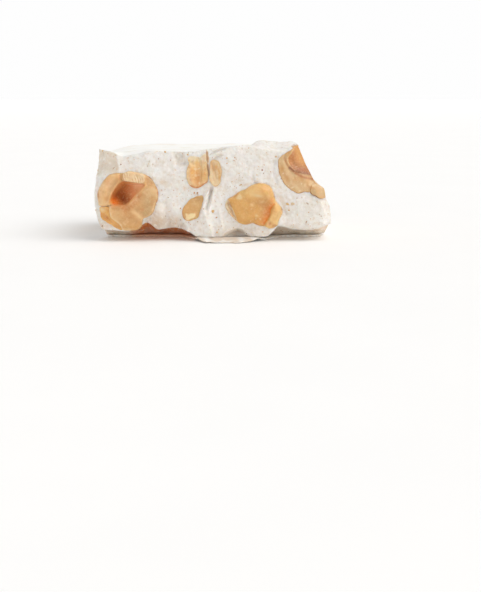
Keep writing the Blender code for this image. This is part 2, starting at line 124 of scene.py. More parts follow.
def curve_at(line, t):
    """Smooth line through the points, without overshoot."""
    xs = np.array([p[0] for p in line], float)
    ys = np.array([p[1] for p in line], float)
    h = np.diff(xs)
    d = np.diff(ys) / h
    m = np.zeros_like(ys)
    same = d[1:] * d[:-1] > 0
    w1, w2 = 2 * h[1:] + h[:-1], h[1:] + 2 * h[:-1]
    with np.errstate(divide="ignore", invalid="ignore"):
        m[1:-1] = np.where(same, (w1 + w2) / (w1 / d[:-1] + w2 / d[1:]), 0.0)
    m[0], m[-1] = d[0], d[-1]
    t = np.clip(t, xs[0], xs[-1])
    i = np.clip(np.searchsorted(xs, t) - 1, 0, len(h) - 1)
    s = (t - xs[i]) / h[i]
    return ((1 + 2 * s) * (1 - s) ** 2 * ys[i] + s * (1 - s) ** 2 * h[i] * m[i]
            + s * s * (3 - 2 * s) * ys[i + 1] + s * s * (s - 1) * h[i] * m[i + 1])


def ring_at(line, degrees):
    """Radius of a closed outline at each angle, by a smooth cubic."""
    n = len(line)
    starts = np.array([p[0] - line[0][0] for p in line], float)
    radii = np.array([p[1] for p in line], float)
    a = np.mod(degrees - line[0][0], 360.0)
    i = np.clip(np.searchsorted(starts, a, side="right") - 1, 0, n - 1)
    ends = np.append(starts[1:], 360.0)
    t = (a - starts[i]) / (ends[i] - starts[i])
    p0, p1, p2, p3 = (radii[(i + k) % n] for k in (-1, 0, 1, 2))
    return 0.5 * (2 * p1 + (p2 - p0) * t + (2 * p0 - 5 * p1 + 4 * p2 - p3) * t * t + (3 * p1 - p0 - 3 * p2 + p3) * t ** 3)


def around(at, points):
    """Outline as angles and radii about a place, from points on it."""
    line = []
    for x, z in points:
        line.append((math.degrees(math.atan2(z - at[1], x - at[0])) % 360.0, math.hypot(x - at[0], z - at[1])))
    return sorted(line)


def mound(x, z, cx, cz, rx, rz, height, turn=0.0):
    c, s = math.cos(math.radians(turn)), math.sin(math.radians(turn))
    p, q = (x - cx) * c + (z - cz) * s, (z - cz) * c - (x - cx) * s
    return height * np.exp(-((p / rx) ** 2 + (q / rz) ** 2))


def along(x, z, x0, z0, x1, z1):
    """Distance to a straight piece of line, and how far along it."""
    dx, dz = x1 - x0, z1 - z0
    t = np.clip(((x - x0) * dx + (z - z0) * dz) / (dx * dx + dz * dz), 0.0, 1.0)
    return np.hypot(x - x0 - t * dx, z - z0 - t * dz), t


def trail(x, z, points):
    """Distance to a bent line."""
    best = np.full(np.shape(x), 1e9)
    for (x0, z0), (x1, z1) in zip(points, points[1:]):
        best = np.minimum(best, along(x, z, x0, z0, x1, z1)[0])
    return best


def seam(x, z, points, width, height):
    return height * np.exp(-(trail(x, z, points) / width) ** 2)


def inside(x, z, points):
    """Signed distance to a closed polygon, negative inside."""
    d = trail(x, z, list(points) + [points[0]])
    odd = np.zeros(np.shape(x), bool)
    for (x0, z0), (x1, z1) in zip(points, list(points[1:]) + [points[0]]):
        if z0 != z1:
            odd ^= ((z0 > z) != (z1 > z)) & (x < (x1 - x0) * (z - z0) / (z1 - z0) + x0)
    return np.where(odd, -d, d)


def rounded(points, times=2):
    """The same closed outline with its corners cut off, over and over."""
    for _ in range(times):
        new = []
        for (x0, z0), (x1, z1) in zip(points, points[1:] + points[:1]):
            new += [(0.75 * x0 + 0.25 * x1, 0.75 * z0 + 0.25 * z1), (0.25 * x0 + 0.75 * x1, 0.25 * z0 + 0.75 * z1)]
        points = new
    return points


def inside_soft(x, z, points, width):
    return ease(width, -width, inside(x, z, rounded(points)))


def left_of(x, z, x0, z0, x1, z1):
    """Signed distance to an endless line, positive on its left."""
    dx, dz = x1 - x0, z1 - z0
    return (dx * (z - z0) - dz * (x - x0)) / math.hypot(dx, dz)


def lattice(ix, iy, iz, seed):
    h = (ix.astype(np.int64) * 73856093) ^ (iy.astype(np.int64) * 19349663) ^ (iz.astype(np.int64) * 83492791) ^ (seed * 2654435761)
    h &= 0xFFFFFFFF
    h = ((h ^ (h >> 15)) * 2246822519) & 0xFFFFFFFF
    h = ((h ^ (h >> 13)) * 3266489917) & 0xFFFFFFFF
    return (h ^ (h >> 16)) & 0xFFFFFFFF


def gradient_noise(x, y, z, size, seed=0):
    """Smooth noise of about -1 to 1 with features of the given size in mm."""
    x, y, z = np.broadcast_arrays(np.asarray(x, float) / size, np.asarray(y, float) / size, np.asarray(z, float) / size)
    fx, fy, fz = np.floor(x), np.floor(y), np.floor(z)
    ux, uy, uz = x - fx, y - fy, z - fz
    wx, wy, wz = (u * u * u * (u * (u * 6 - 15) + 10) for u in (ux, uy, uz))
    total = np.zeros(x.shape)
    for cx in (0, 1):
        for cy in (0, 1):
            for cz in (0, 1):
                h = lattice(fx + cx, fy + cy, fz + cz, seed)
                a = (h & 0xFFFF) * (2 * math.pi / 65536.0)
                c = ((h >> 16) & 0xFFFF) / 32768.0 - 1.0
                s = np.sqrt(np.maximum(0.0, 1 - c * c))
                dot = (ux - cx) * np.cos(a) * s + (uy - cy) * np.sin(a) * s + (uz - cz) * c
                total += dot * np.where(cx, wx, 1 - wx) * np.where(cy, wy, 1 - wy) * np.where(cz, wz, 1 - wz)
    return total * 1.6


def layered(x, y, z, size, seed=0, octaves=3, fall=0.5):
    total, height = 0.0, 1.0
    for k in range(octaves):
        total = total + height * gradient_noise(x, y, z, size / 2 ** k, seed + 17 * k)
        height *= fall
    return total


def cells(x, y, z, size, seed=0):
    """Distance to the nearest scattered point, to the second, and the cell's number."""
    x, y, z = np.broadcast_arrays(np.asarray(x, float) / size, np.asarray(y, float) / size, np.asarray(z, float) / size)
    fx, fy, fz = np.floor(x), np.floor(y), np.floor(z)
    first = np.full(x.shape, 9.0)
    second = np.full(x.shape, 9.0)
    number = np.zeros(x.shape)
    for a in (-1, 0, 1):
        for b in (-1, 0, 1):
            for c in (-1, 0, 1):
                h = lattice(fx + a, fy + b, fz + c, seed)
                px = fx + a + (h & 1023) / 1023.0
                py = fy + b + ((h >> 10) & 1023) / 1023.0
                pz = fz + c + ((h >> 20) & 1023) / 1023.0
                d = np.sqrt((px - x) ** 2 + (py - y) ** 2 + (pz - z) ** 2)
                nearer = d < first
                second = np.where(nearer, first, np.minimum(second, d))
                number = np.where(nearer, (h & 0xFFFF) / 65535.0, number)
                first = np.where(nearer, d, first)
    return first * size, second * size, number


def shade(r, g, b):
    """Linear colour of an 8-bit display colour."""
    c = np.array([r, g, b], float) / 255.0
    return np.where(c <= 0.04045, c / 12.92, ((c + 0.055) / 1.055) ** 2.4)


def paint(base, colour, amount):
    """Lays a colour over an array of colours by an amount of 0 to 1."""
    return base + (np.asarray(colour) - base) * np.clip(amount, 0.0, 1.0)[..., None]


# ---- the broken faces ----------------------------------------------------------
def front_form(x, z):
    """How far the broken front lies behind its mean plane, without the fine grain."""
    d = 1.7 * ease(-23.6, -26.8, x)
    d = d + 0.42 * np.maximum(0.0, -21.0 - x) * ease(14.0, 17.0, z)
    d += 1.2 * ease(2.2, 0.0, curve_at(RIGHT_LINE, z) - x)
    d += 2.3 * ease(7.5, 2.0, z) * ease(-17.0, -14.5, x) * ease(-5.0, -8.5, x)
    d += 0.9 * ease(4.0, 1.5, z) * ease(-14.0, -19.0, x)
    d += 1.5 * ease(4.5, 1.5, z) * ease(13.5, 16.5, x)
    d -= mound(x, z, 2.2, 4.2, 3.6, 3.6, 1.2)
    d -= mound(x, z, 11.0, 2.6, 2.6, 2.0, 0.8)
    d += mound(x, z, 5.8, 1.0, 2.6, 2.0, 1.5)
    d += 0.32 * gradient_noise(x, 0.0, z, 6.0, 1) + 0.14 * gradient_noise(x, 0.0, z, 2.6, 2)
    return d


OUTLINES = dict(
    nut_hollow=spots((159.3, 196), (159.5, 192.3), (158.8, 188.6), (157.1, 185.2), (154.8, 180.6), (152.2, 177.0), (145.8, 173.4), (141.1, 172.0), (135.9, 171.0),
                     (129.8, 170.6), (124.6, 172.2), (118.4, 172.3), (110.9, 173.9), (105.7, 178.6), (101, 185.2), (98.1, 190.9), (97, 196.1),
                     (97.9, 201.3), (99.6, 206.4), (109.2, 205.7), (110.0, 211.4), (111.5, 217.2), (116.3, 221.0), (121.0, 224.8), (123.0, 229.6),
                     (129.8, 230.7), (138.2, 229.6), (142.0, 226.6), (142.6, 222.6), (143.8, 218.8), (147.7, 217.3), (153.3, 213.1), (155.7, 207.9), (156.9, 203.2), (159, 198.9)),
    nut_hollow_chip=spots((117.5, 221.6), (112.6, 216.6), (111.6, 211.2), (110.8, 206.6), (104.5, 206.2), (99.8, 207.2), (100.6, 212), (101.2, 216.9), (106.2, 220.4), (112.3, 223.9), (118.6, 228.4), (122.4, 229.6), (121.4, 225.4)),
    nut_split_left=spots((188.5, 158.2), (189.7, 163.5), (187.4, 169.3), (187.1, 175.2), (188, 181.1), (190.9, 185.8), (196.2, 187.8), (199.7, 187), (204.4, 184),
                         (207.9, 181), (208.2, 175.2), (207.2, 167), (206.6, 160), (205.8, 153.8), (203.6, 154.5), (200.9, 157.2), (195.6, 156.4), (191, 156.3)),
    nut_split_right=spots((211.4, 160.5), (217.9, 160.5), (220.8, 166.4), (222, 172.9), (220.8, 177.6), (218.5, 184.6), (214.9, 185.8), (210.5, 181.1), (209.2, 177.6), (210.2, 172.9), (210.4, 166.4)),
    nut_small=spots((193.7, 197.3), (199.1, 195.3), (203, 195.3), (202.3, 203.1), (199.9, 210.9), (197.6, 217.1), (193.7, 218.7), (188.3, 220.2), (184.4, 218.7), (182.4, 213.2), (183.2, 207.8), (186.7, 203.1)),
    nut_whole=spots((239.2, 190.9), (245, 188.7), (250.4, 185.1), (255.7, 183.1), (261.5, 182.5), (266.4, 183.8), (270, 186), (272.2, 190.1), (274, 194.5), (275.4, 199.9),
                    (278, 203.4), (281.2, 206.6), (282.5, 211), (280.3, 216.4), (278, 220.9), (277.1, 224.9), (272.7, 227.1), (268.2, 227.3), (264.6, 225.3), (259.3, 224.7),
                    (255.7, 223.5), (252.1, 222.4), (246.8, 223.8), (241.4, 223.1), (237.9, 221.3), (233.4, 217.3), (228.9, 212.4), (225.8, 207.5), (224.9, 203.9), (226.9, 198.9), (232.1, 196.1), (237.4, 192.0)),
)
for name, points in OUTLINES.items():
    FRONT_NUTS[name]["line"] = [(a, (0.99 if name == "nut_hollow" else 1.01) * r) for a, r in around(FRONT_NUTS[name]["at"], points)]
CORNER_OUTLINES = dict(
    nut_corner=around(CUT_NUTS["nut_corner"]["at"][::2], spots((276.9, 159.2), (276.5, 164.6), (276.9, 169.9), (279.2, 177.1), (282.3, 182.9), (287.2, 188.2), (292.6, 191.8), (297, 194), (300.1, 193.6),
                      (303.7, 192.3), (308.6, 192.4), (315, 190), (322, 182), (324, 170), (318, 155), (309, 146), (298, 143.2), (291, 148.4), (284.0, 152.4), (279.4, 155.4))),
    nut_corner_chip=around(CUT_NUTS["nut_corner_chip"]["at"][::2], spots((308.6, 187), (309.4, 184.7), (315.8, 184), (320.7, 186.2), (324.8, 189.4), (326, 194), (323.6, 197.4), (319.3, 198), (314.4, 195.5), (309.5, 192.7))),
)


def front_detail(x, z):
    """Folds, dents and grain of the broken front."""
    d = np.zeros(np.shape(x))
    # rough hollow under the top edge, and the two thin pointed folds beside it
    patch = inside(x, z, spots((171.5, 150), (184, 150.5), (186, 158), (188.5, 163), (184, 166.8), (177, 165.8), (174, 158)))
    d += ease(0.35, -0.7, patch) * (0.55 + 0.22 * layered(x, 2.0, z, 1.2, 33, 3, 0.6))
    leaf = inside(x, z, spots((208.5, 156), (213, 151.2), (219, 149.3), (228, 147.6), (224, 150.6), (217, 152.6), (212, 156.6)))
    d += 0.60 * ease(0.12, -0.30, leaf)
    leaf = inside(x, z, spots((212.6, 160.4), (215, 156.6), (219, 154.8), (225, 154.6), (221, 157.6), (217, 160.2)))
    d += 0.60 * ease(0.12, -0.35, leaf)
    d -= seam(x, z, spots((210, 157), (215, 153.6), (225, 151.6)), 0.28, 0.20)
    # the sheet that laps over from the right, with a groove between two ridges
    over = inside(x, z, spots((203.4, 193), (201.6, 205), (197.8, 217.4), (193.8, 222), (190.6, 233), (204, 240), (216, 240), (212, 214), (209, 190)))
    d -= 0.55 * ease(0.10, -0.65, over)
    d += seam(x, z, spots((212.0, 187.5), (209.6, 197), (206.6, 208)), 0.30, 1.05)
    d -= seam(x, z, spots((208.4, 189), (205.6, 199), (203.0, 209)), 0.36, 0.34)
    d -= seam(x, z, spots((214.8, 188), (212.6, 198), (209.4, 211)), 0.34, 0.42)
    d -= seam(x, z, spots((219.0, 209), (221.0, 219), (222.6, 227)), 0.30, 0.36)
    d -= seam(x, z, spots((203.0, 206), (207, 221), (214, 236)), 0.40, 0.26)
    # alcove over the flap, the lumps round it
    alcove = inside(x, z, spots((221.0, 237.5), (227.5, 232.2), (233.4, 229.8), (237.3, 228.2), (241.4, 229.8), (245.3, 232.9), (250, 237.5)))
    d += 1.25 * ease(0.12, -0.85, alcove)
    d -= 0.30 * np.exp(-((alcove - 0.40) / 0.32) ** 2) * ease(6.0, 3.5, z)
    # rounded lobe beside the hollow kernel, shaded folds right of it
    d -= mound(x, z, *spot(159.5, 216), 1.35, 3.0, 0.75, -6)
    d += seam(x, z, spots((165.5, 203), (167.5, 214), (170.5, 226)), 0.60, 0.50)
    d -= mound(x, z, *spot(176, 215), 1.2, 2.2, 0.35, 10)
    d += seam(x, z, spots((150, 218.5), (146.5, 221), (144.6, 225)), 0.35, 0.45)
    notch = inside(x, z, spots((179.6, 224.6), (183.6, 223.2), (186.6, 228.6), (188.5, 236), (177, 236)))
    d += 1.0 * ease(0.10, -0.55, notch)
    d -= seam(x, z, spots((178, 223), (184.5, 221.4), (189, 229)), 0.24, 0.26)
    # smooth patch with dents above the whole kernel
    smooth = inside(x, z, spots((251.6, 178), (254, 171), (260, 167.4), (263.4, 171), (262.4, 180), (258, 184.5)))
    d -= 0.22 * ease(0.25, -0.5, smooth)
    d += mound(x, z, *spot(253.3, 177.8), 0.22, 0.42, 0.55, 20) + mound(x, z, *spot(255.4, 182.2), 0.42, 0.28, 0.7)
    # notches and soft dents
    d += seam(x, z, spots((271, 222), (276.6, 226.6)), 0.35, 0.55)
    d += mound(x, z, *spot(251.5, 226.4), 0.6, 0.55, 0.7)
    d += seam(x, z, spots((276, 196), (282, 205), (285, 213)), 0.55, 0.40)
    d += seam(x, z, spots((224, 190), (232, 183), (243, 176)), 0.9, 0.16) + seam(x, z, spots((284, 214), (296, 222), (310, 226)), 0.9, 0.18)
    d += seam(x, z, spots((274, 162), (272.6, 172), (276, 183)), 0.40, 0.34)
    d -= seam(x, z, spots((118.6, 152), (119.6, 162), (120.8, 171)), 0.30, 0.22)
    # grain
    d += 0.11 * layered(x, 0.0, z, 2.1, 31, 3, 0.55)
    ridge = 1.0 - np.abs(gradient_noise(x * 0.8 + z * 0.5, 0.0, z, 2.4, 41))
    d -= 0.09 * ridge ** 3
    near, far, number = cells(x, 1.0, z, 1.15, 45)
    d += 0.22 * ease(0.26, 0.08, near) * ease(0.70, 0.78, number)
    near, far, number = cells(x, 6.0, z, 0.62, 49)
    d += 0.13 * ease(0.22, 0.06, near) * ease(0.60, 0.72, number)
    return d + 0.060 * layered(x, 7.0, z, 0.60, 47, 2, 0.6)


def back_form(x, z):
    d = 1.3 * ease(-23.0, -26.0, x) + 1.2 * ease(23.5, 26.5, x)
    d = d + 0.9 * ease(4.0, 1.0, z) * ease(-4.0, 6.0, x)
    d += mound(x, z, -2.0, 16.0, 5.0, 3.0, 0.9, 20) - mound(x, z, 12.0, 15.0, 4.0, 3.0, 0.8)
    d -= mound(x, z, -11.5, 4.0, 3.0, 3.0, 0.8)
    d += 0.5 * gradient_noise(x, 3.0, z, 7.0, 5) + 0.2 * gradient_noise(x, 3.0, z, 3.0, 6)
    return d


def back_detail(x, z):
    d = 0.18 * layered(x, 9.0, z, 2.2, 51, 3, 0.55)
    ridge = 1.0 - np.abs(gradient_noise(x * 0.7 - z * 0.4, 5.0, z, 3.1, 43))
    return d - 0.22 * ridge ** 3


def oval(size, turn):
    a, b = size
    line = []
    for k in range(10):
        t = math.radians(36.0 * k - turn)
        line.append((36.0 * k, a * b / math.hypot(b * math.cos(t), a * math.sin(t)) * (1.0 + 0.05 * math.sin(3 * t + a))))
    return line


def reach(x, z, at, line):
    """Where a point lies in a closed outline: 0 at its middle, 1 on it."""
    dx, dz = x - at[0], z - at[1]
    return np.hypot(dx, dz) / np.maximum(ring_at(line, np.degrees(np.arctan2(dz, dx))), 0.01)


def egg_level(x, y, z, n, grow=0.0):
    """Below 1 inside a kernel."""
    cx, cy, cz = n["at"]
    a = math.radians(n["turn"])
    dx, dy, dz = x - cx, y - cy, z - cz
    if n["about"] == "X":
        dy, dz = dy * math.cos(a) + dz * math.sin(a), dz * math.cos(a) - dy * math.sin(a)
    else:
        dx, dz = dx * math.cos(a) - dz * math.sin(a), dz * math.cos(a) + dx * math.sin(a)
    hx, hy, hz = (h + grow for h in n["half"])
    taper = 1.0 - 0.10 * np.clip(dz / hz, -1, 1)
    return np.sqrt((dx / (hx * taper)) ** 2 + (dy / (hy * taper)) ** 2 + (dz / hz) ** 2)


def corner_dip(n):
    """How far the front plane lies from the middle of a corner kernel, as a share."""
    return min(0.9, abs(Y_FRONT + 0.4 - n["at"][1]) / n["half"][1])


def corner_level(x, y, z, n, outline):
    """Below 1 inside a corner kernel."""
    r = reach(x, z, n["at"][::2], outline) * math.sqrt(1 - corner_dip(n) ** 2)
    return np.hypot((y - n["at"][1]) / n["half"][1], r)


for n in BACK_NUTS.values():
    n["line"] = oval(n["size"], n["turn"])


# ---- the block -------------------------------------------------------------------
def top_z(x, v):
    z = mix(curve_at(TOP_LINE, x), curve_at(TOP_LINE_BACK, x), ease(0.0, 0.30, v))
    rise = ease(HUMP_FROM - 1.0, HUMP_FROM + 3.0, x) * ease(0.0, 0.17, v) * (1.0 - 0.95 * ease(0.22, 0.55, v)) * ease(20.6, 17.4, x)
    return z + HUMP * rise + 0.08 * gradient_noise(x, v * 30.0, 0.0, 7.0, 9)


def facet_relief(x, v):
    """Dents of the broken facet."""
    y = v * 33.8
    d = 0.16 * layered(x, y, 0.0, 2.4, 63, 3, 0.55)
    d -= 0.45 * np.exp(-((x - 16.4) / 1.6) ** 2 - ((y - 6.0) / 1.8) ** 2)
    d -= 0.25 * np.exp(-((x - 10.0) / 1.4) ** 2 - ((y - 3.2) / 1.2) ** 2)
    return d


def sides_at(z, v):
    return sides(np.clip(z / 21.0, 0.0, 1.02), v)


def torn_edge(x):
    """How far back the upper wafer is torn away, as a share of the depth."""
    wander = x + 0.6 * gradient_noise(x, 0.0, 3.0, 1.7, 113)
    return 0.275 * (1.0 - np.exp(-np.maximum(0.0, wander - 6.8) / 1.8)) + (0.030 * gradient_noise(x, 0, 0, 3.6, 114) + 0.012 * gradient_noise(x, 0, 0, 1.2, 61)) * ease(8, 11, x)


def facet(x, v):
    """1 on the broken facet at the top right, 0 where the wafer lies."""
    return ease(0.008, -0.030, v - torn_edge(x)) * ease(6.4, 7.4, x)


def sides(w, v):
    h = 21.0 * w
    return (mix(curve_at(LEFT_LINE, h), curve_at(LEFT_BACK, h), v),
            mix(curve_at(RIGHT_LINE, h), curve_at(RIGHT_BACK, h), v))


def block_form(u, v, w):
    left, right = sides(w, v)
    x = mix(left, right, u)
    for _ in range(2):
        open_ = facet(x, v)
        top = top_z(x, v) - 0.02 - WAFER * (1.0 - open_) * ease(0.004, 0.03, v) + open_ * facet_relief(x, v) * ease(0.0, 0.03, v)
        low = mix(curve_at(BOTTOM_LINE, x), WAFER - 0.03, ease(0.075, 0.25, v + 0.028 * gradient_noise(x, 0.0, 0.0, 3.0, 66)) ** 1.2)
        z = mix(low, top, w)
        left, right = sides_at(z, v)
        x = mix(left, right, u)
    y = mix(Y_FRONT + front_form(x, z), Y_BACK - back_form(x, z), v)
    return x, y, z


def graded(count, power=1.0):
    """0 to 1, closer together at both ends."""
    t = np.linspace(0.0, 1.0, count + 1)
    s = 0.5 - 0.5 * np.cos(math.pi * t)
    return mix(t, s, power)


def front_face(x, z, r=1.0):
    """The front as the kernels in it follow it: fully at their edge, softly inside."""
    return Y_FRONT + front_form(x, z) + front_detail(x, z) * ease(0.80, 0.98, r)


def back_face(x, z, r=1.0):
    return Y_BACK - back_form(x, z) - back_detail(x, z) * ease(0.80, 0.98, r)


def wall_at(side, y, z):
    """Where a cut face lies, with the faint drag of the knife."""
    v = np.clip((y - Y_FRONT) / (Y_BACK - Y_FRONT), 0, 1)
    left, right = sides(np.clip(z / 21.0, 0, 1), v)
    drag = 0.05 * gradient_noise(0.0, y * 0.5, z, 1.3, 71) + 0.10 * gradient_noise(0.0, y, z, 4.5, 72) + 0.03 * layered(3.0, y, z, 0.7, 73, 2)
    drag = drag * ease(0.0, 0.05, v) * ease(1.0, 0.95, v)
    return (left - drag) if side < 0 else (right + drag)


def seat(h, r, lip):
    """Lets a kernel dip under the nougat at its outline."""
    return mix(lip - 0.10, h, ease(1.0, 0.965, r) ** 0.7)


def build_nougat():
    nu, nv, nw = 268, 54, 98
    U, V, W = graded(nu, 0.20), graded(nv, 0.85), graded(nw, 0.30)
    quads = []
    step_j, step_i = nw + 1, (nw + 1) * (nv + 1)

    def key(i, j, k):
        return i * step_i + j * step_j + k

    def sheet(a, b, make, flip):
        A, B = np.meshgrid(np.arange(a), np.arange(b), indexing="ij")
        c = [make(A, B), make(A + 1, B), make(A + 1, B + 1), make(A, B + 1)]
        quads.append(np.stack([m.ravel() for m in (c if not flip else c[::-1])], axis=1))

    sheet(nu, nw, lambda i, k: key(i, 0, k), False)
    sheet(nu, nw, lambda i, k: key(i, nv, k), True)
    sheet(nu, nv, lambda i, j: key(i, j, nw), False)
    sheet(nu, nv, lambda i, j: key(i, j, 0), True)
    sheet(nv, nw, lambda j, k: key(0, j, k), True)
    sheet(nv, nw, lambda j, k: key(nu, j, k), False)
    quads = np.concatenate(quads)
    used, flat = np.unique(quads, return_inverse=True)
    quads = flat.reshape(-1, 4)
    I, rest = used // step_i, used % step_i
    J, K = rest // step_j, rest % step_j
    u, v, w = U[I], V[J], W[K]
    x, y, z = block_form(u, v, w)

    on_front, on_back = (J == 0), (J == nv)
    on_left, on_right = (I == 0), (I == nu)
    on_top, on_low = (K == nw), (K == 0)
    # fine relief of the broken faces, fading just behind their edges
    near_f, near_b = ease(0.05, 0.0, v), ease(0.95, 1.0, v)
    y = y + near_f * front_detail(x, z) - near_b * back_detail(x, z)
    y = y + 0.30 * near_f * (ease(0.990, 1.0, w) + ease(0.015, 0.0, w))
    x = np.where(on_left, wall_at(-1, y, z), np.where(on_right, wall_at(1, y, z), x))
    hollow = on_low & ~on_front & (v < 0.36)
    y = np.where(hollow, y + 0.5 * layered(x, 1.5, z, 3.4, 67, 3, 0.6) * ease(0.02, 0.12, v) * ease(0.36, 0.30, v), y)

    colour = np.tile(NOUGAT, (len(x), 1))
    # painted shade: the left facet, which turns away from the light, is darkened and warmed
    colour = paint(colour, shade(230, 216, 198), near_f * 0.85 * ease(-20.6, -21.4, x) * ease(14.0, 16.4, z))
    # painted shade: warm painted shadow on the lower lobes, in the alcove over the flap and on the low corner under the
    # hollow kernel's chip
    colour = paint(colour, shade(216, 186, 154), near_f * (0.70 * mound(x, z, *spot(157, 221), 1.9, 2.2, 1.0) + 0.5 * mound(x, z, *spot(174, 224), 2.4, 1.8, 1.0)
                                                          + 0.5 * mound(x, z, *spot(236, 233), 2.6, 1.2, 1.0) + 0.45 * mound(x, z, *spot(104, 224), 2.0, 1.4, 1.0)))
    # grey painted shade in the rough hollow under the top edge
    colour = paint(colour, shade(222, 212, 200), near_f * 0.6 * inside_soft(x, z, spots((171.5, 150), (184, 150.5), (186, 158), (188.5, 163), (184, 166.8), (177, 165.8), (174, 158)), 0.4))
    # two faint darker patches
    colour = paint(colour, shade(226, 219, 209), near_f * (0.55 * mound(x, z, *spot(171, 183), 2.4, 2.2, 1.0) + 0.55 * mound(x, z, *spot(308, 211), 4.2, 1.8, 1.0)))
    # the underside in the gap over the floor: painted shade in warm beige, and a painted orange glow of bounced light
    # at the left
    under = ease(0.40, 0.28, v) * ease(0.004, 0.0, w) * ease(0.0, 0.02, v)
    colour = paint(colour, shade(240, 214, 184), under * 0.70)
    warm = ease(-2.0, -6.0, x) * ease(-21.0, -16.0, x)
    colour = paint(colour, shade(240, 146, 76), under * warm * (0.80 + 0.20 * ease(-0.6, 0.3, layered(x, y, z, 4.0, 68, 3, 0.6))))
    # beds of the hazelnuts
    for name, n in FRONT_NUTS.items():
        r = reach(x, z, n["at"], n["line"])
        lip = 0.25 if name == "nut_whole" else 0.10
        deep = 4.4 if name == "nut_hollow" else 1.4
        y = np.where(on_front, y - lip * ease(1.30, 1.02, r) + 0.9 * ease(0.93, 0.86, r) + deep * ease(0.86, 0.66, r), y)
        colour = paint(colour, BED, np.where(on_front, ease(0.95, 0.90, r), 0.0))
    for name, n in BACK_NUTS.items():
        r = reach(x, z, n["at"], n["line"])
        lip = 0.25 if n["dome"] > 1 else 0.10
        y = np.where(on_back, y + lip * ease(1.30, 1.02, r) - 0.9 * ease(0.93, 0.86, r) - 1.4 * ease(0.86, 0.66, r), y)
        colour = paint(colour, BED, np.where(on_back, ease(0.95, 0.90, r), 0.0))
    for name, n in CUT_NUTS.items():
        if name in CORNER_OUTLINES:
            outline = CORNER_OUTLINES[name]
            f = corner_level(x, y, z, n, outline)
            r = reach(x, z, n["at"][::2], outline)
            bed = Y_FRONT + front_form(x, z) + 2.6
            y = np.where(on_front, y - 0.10 * ease(1.25, 1.02, r) + 0.9 * ease(0.96, 0.90, r) + 1.7 * ease(0.90, 0.80, r), y)
            inner = (on_right | on_top) & ~on_front
            y = np.where(inner & (y < bed), mix(y, bed, ease(1.0, 0.93, f)), y)
            x = np.where(on_right, x - 1.6 * ease(1.0, 0.90, f), x)
            z = np.where(on_top & (v < 0.05), z - 1.0 * ease(1.0, 0.95, f), z)
            colour = paint(colour, BED, np.where(on_right, ease(0.99, 0.93, f), 0.0))
            continue
        f = egg_level(x, y, z, n)
        deep = 1.2 * ease(0.97, 0.86, f)
        x = np.where(on_left, x + deep, np.where(on_right, x - deep, x))
        colour = paint(colour, BED, np.where(on_left | on_right, ease(0.97, 0.90, f), 0.0))
    # thin brown crack between the halves of the split kernel
    leaf = inside(x, z, spots((206.8, 149.2), (208.2, 154), (208.9, 158.5), (208.4, 165), (209.4, 172), (210.2, 177), (208.6, 174), (207.3, 166), (206.9, 158)))
    y = np.where(on_front, y + 0.35 * ease(0.12, -0.16, leaf), y)
    colour = paint(colour, shade(222, 184, 142), np.where(on_front, ease(0.20, 0.02, leaf), 0.0))
    colour = paint(colour, shade(186, 128, 84), np.where(on_front, 0.75 * ease(0.16, 0.04, trail(x, z, spots((206.8, 150), (207.0, 158), (207.6, 166), (209.4, 176)))), 0.0))
    # smears of ground kernel
    for px, py, rx, rz, turn, amount in SMEARS:
        cx, cz = spot(px, py)
        colour = paint(colour, shade(214, 178, 132), np.where(on_front, mound(x, z, cx, cz, rx, rz, amount, turn), 0.0))
    # faint darker clouds
    cloud = layered(x, y, z, 5.0, 65, 3, 0.6)
    colour = paint(colour, shade(226, 216, 202), 0.55 * ease(0.15, 0.9, cloud))
    return make_mesh("nougat_body", np.stack([x, y, z], axis=1), quads, colour)


# ---- mesh making -------------------------------------------------------------------
def make_mesh(name, points, quads, colour):
    """One mesh from arrays of points (mm) and faces, with its colours."""
    p = np.array(points, float)
    p[:, 0] += X_MIDDLE
    p[:, 1] += Y_MIDDLE
    p *= MM
    margin = 2e-6
    p = np.clip(p, np.array(cad_low) + margin, np.array(cad_high) - margin)
    mesh = bpy.data.meshes.new(name)
    quads = np.asarray(quads)
    mesh.vertices.add(len(p))
    mesh.vertices.foreach_set("co", p.astype(np.float32).ravel())
    if isinstance(quads, np.ndarray) and quads.ndim == 2:
        width = quads.shape[1]
        mesh.loops.add(quads.size)
        mesh.loops.foreach_set("vertex_index", quads.astype(np.int32).ravel())
        mesh.polygons.add(len(quads))
        mesh.polygons.foreach_set("loop_start", np.arange(0, quads.size, width, dtype=np.int32))
        mesh.polygons.foreach_set("loop_total", np.full(len(quads), width, dtype=np.int32))
    mesh.update(calc_edges=True)
    mesh.validate()
    mesh.shade_smooth()
    layer = mesh.attributes.new("tint", "FLOAT_COLOR", "POINT")
    rgba = np.ones((len(p), 4), np.float32)
    rgba[:, :3] = colour
    layer.data.foreach_set("color", rgba.ravel())
    obj = bpy.data.objects.new(name, mesh)
    bpy.context.scene.collection.objects.link(obj)
    return obj


def rings_mesh(name, rows, first, last, colour_rows, colour_first, colour_last):
    """Closed mesh from rings of points with a pole at each end (triangles at the poles)."""
    count, seg = len(rows), rows[0].shape[0]
    points = np.concatenate([*rows, [first], [last]])
    colours = np.concatenate([*colour_rows, [colour_first], [colour_last]])
    s = np.arange(seg)
    t = (s + 1) % seg
    faces = []
    for r in range(count - 1):
        a, b = r * seg, (r + 1) * seg
        faces.append(np.stack([a + s, b + s, b + t], axis=1))
        faces.append(np.stack([a + s, b + t, a + t], axis=1))
    n0, n1 = count * seg, count * seg + 1
    faces.append(np.stack([np.full(seg, n0), s, t], axis=1))
    a = (count - 1) * seg
    faces.append(np.stack([a + s, np.full(seg, n1), a + t], axis=1))
    return make_mesh(name, points, np.concatenate(faces), colours * np.array([0.965, 0.975, 0.955]))


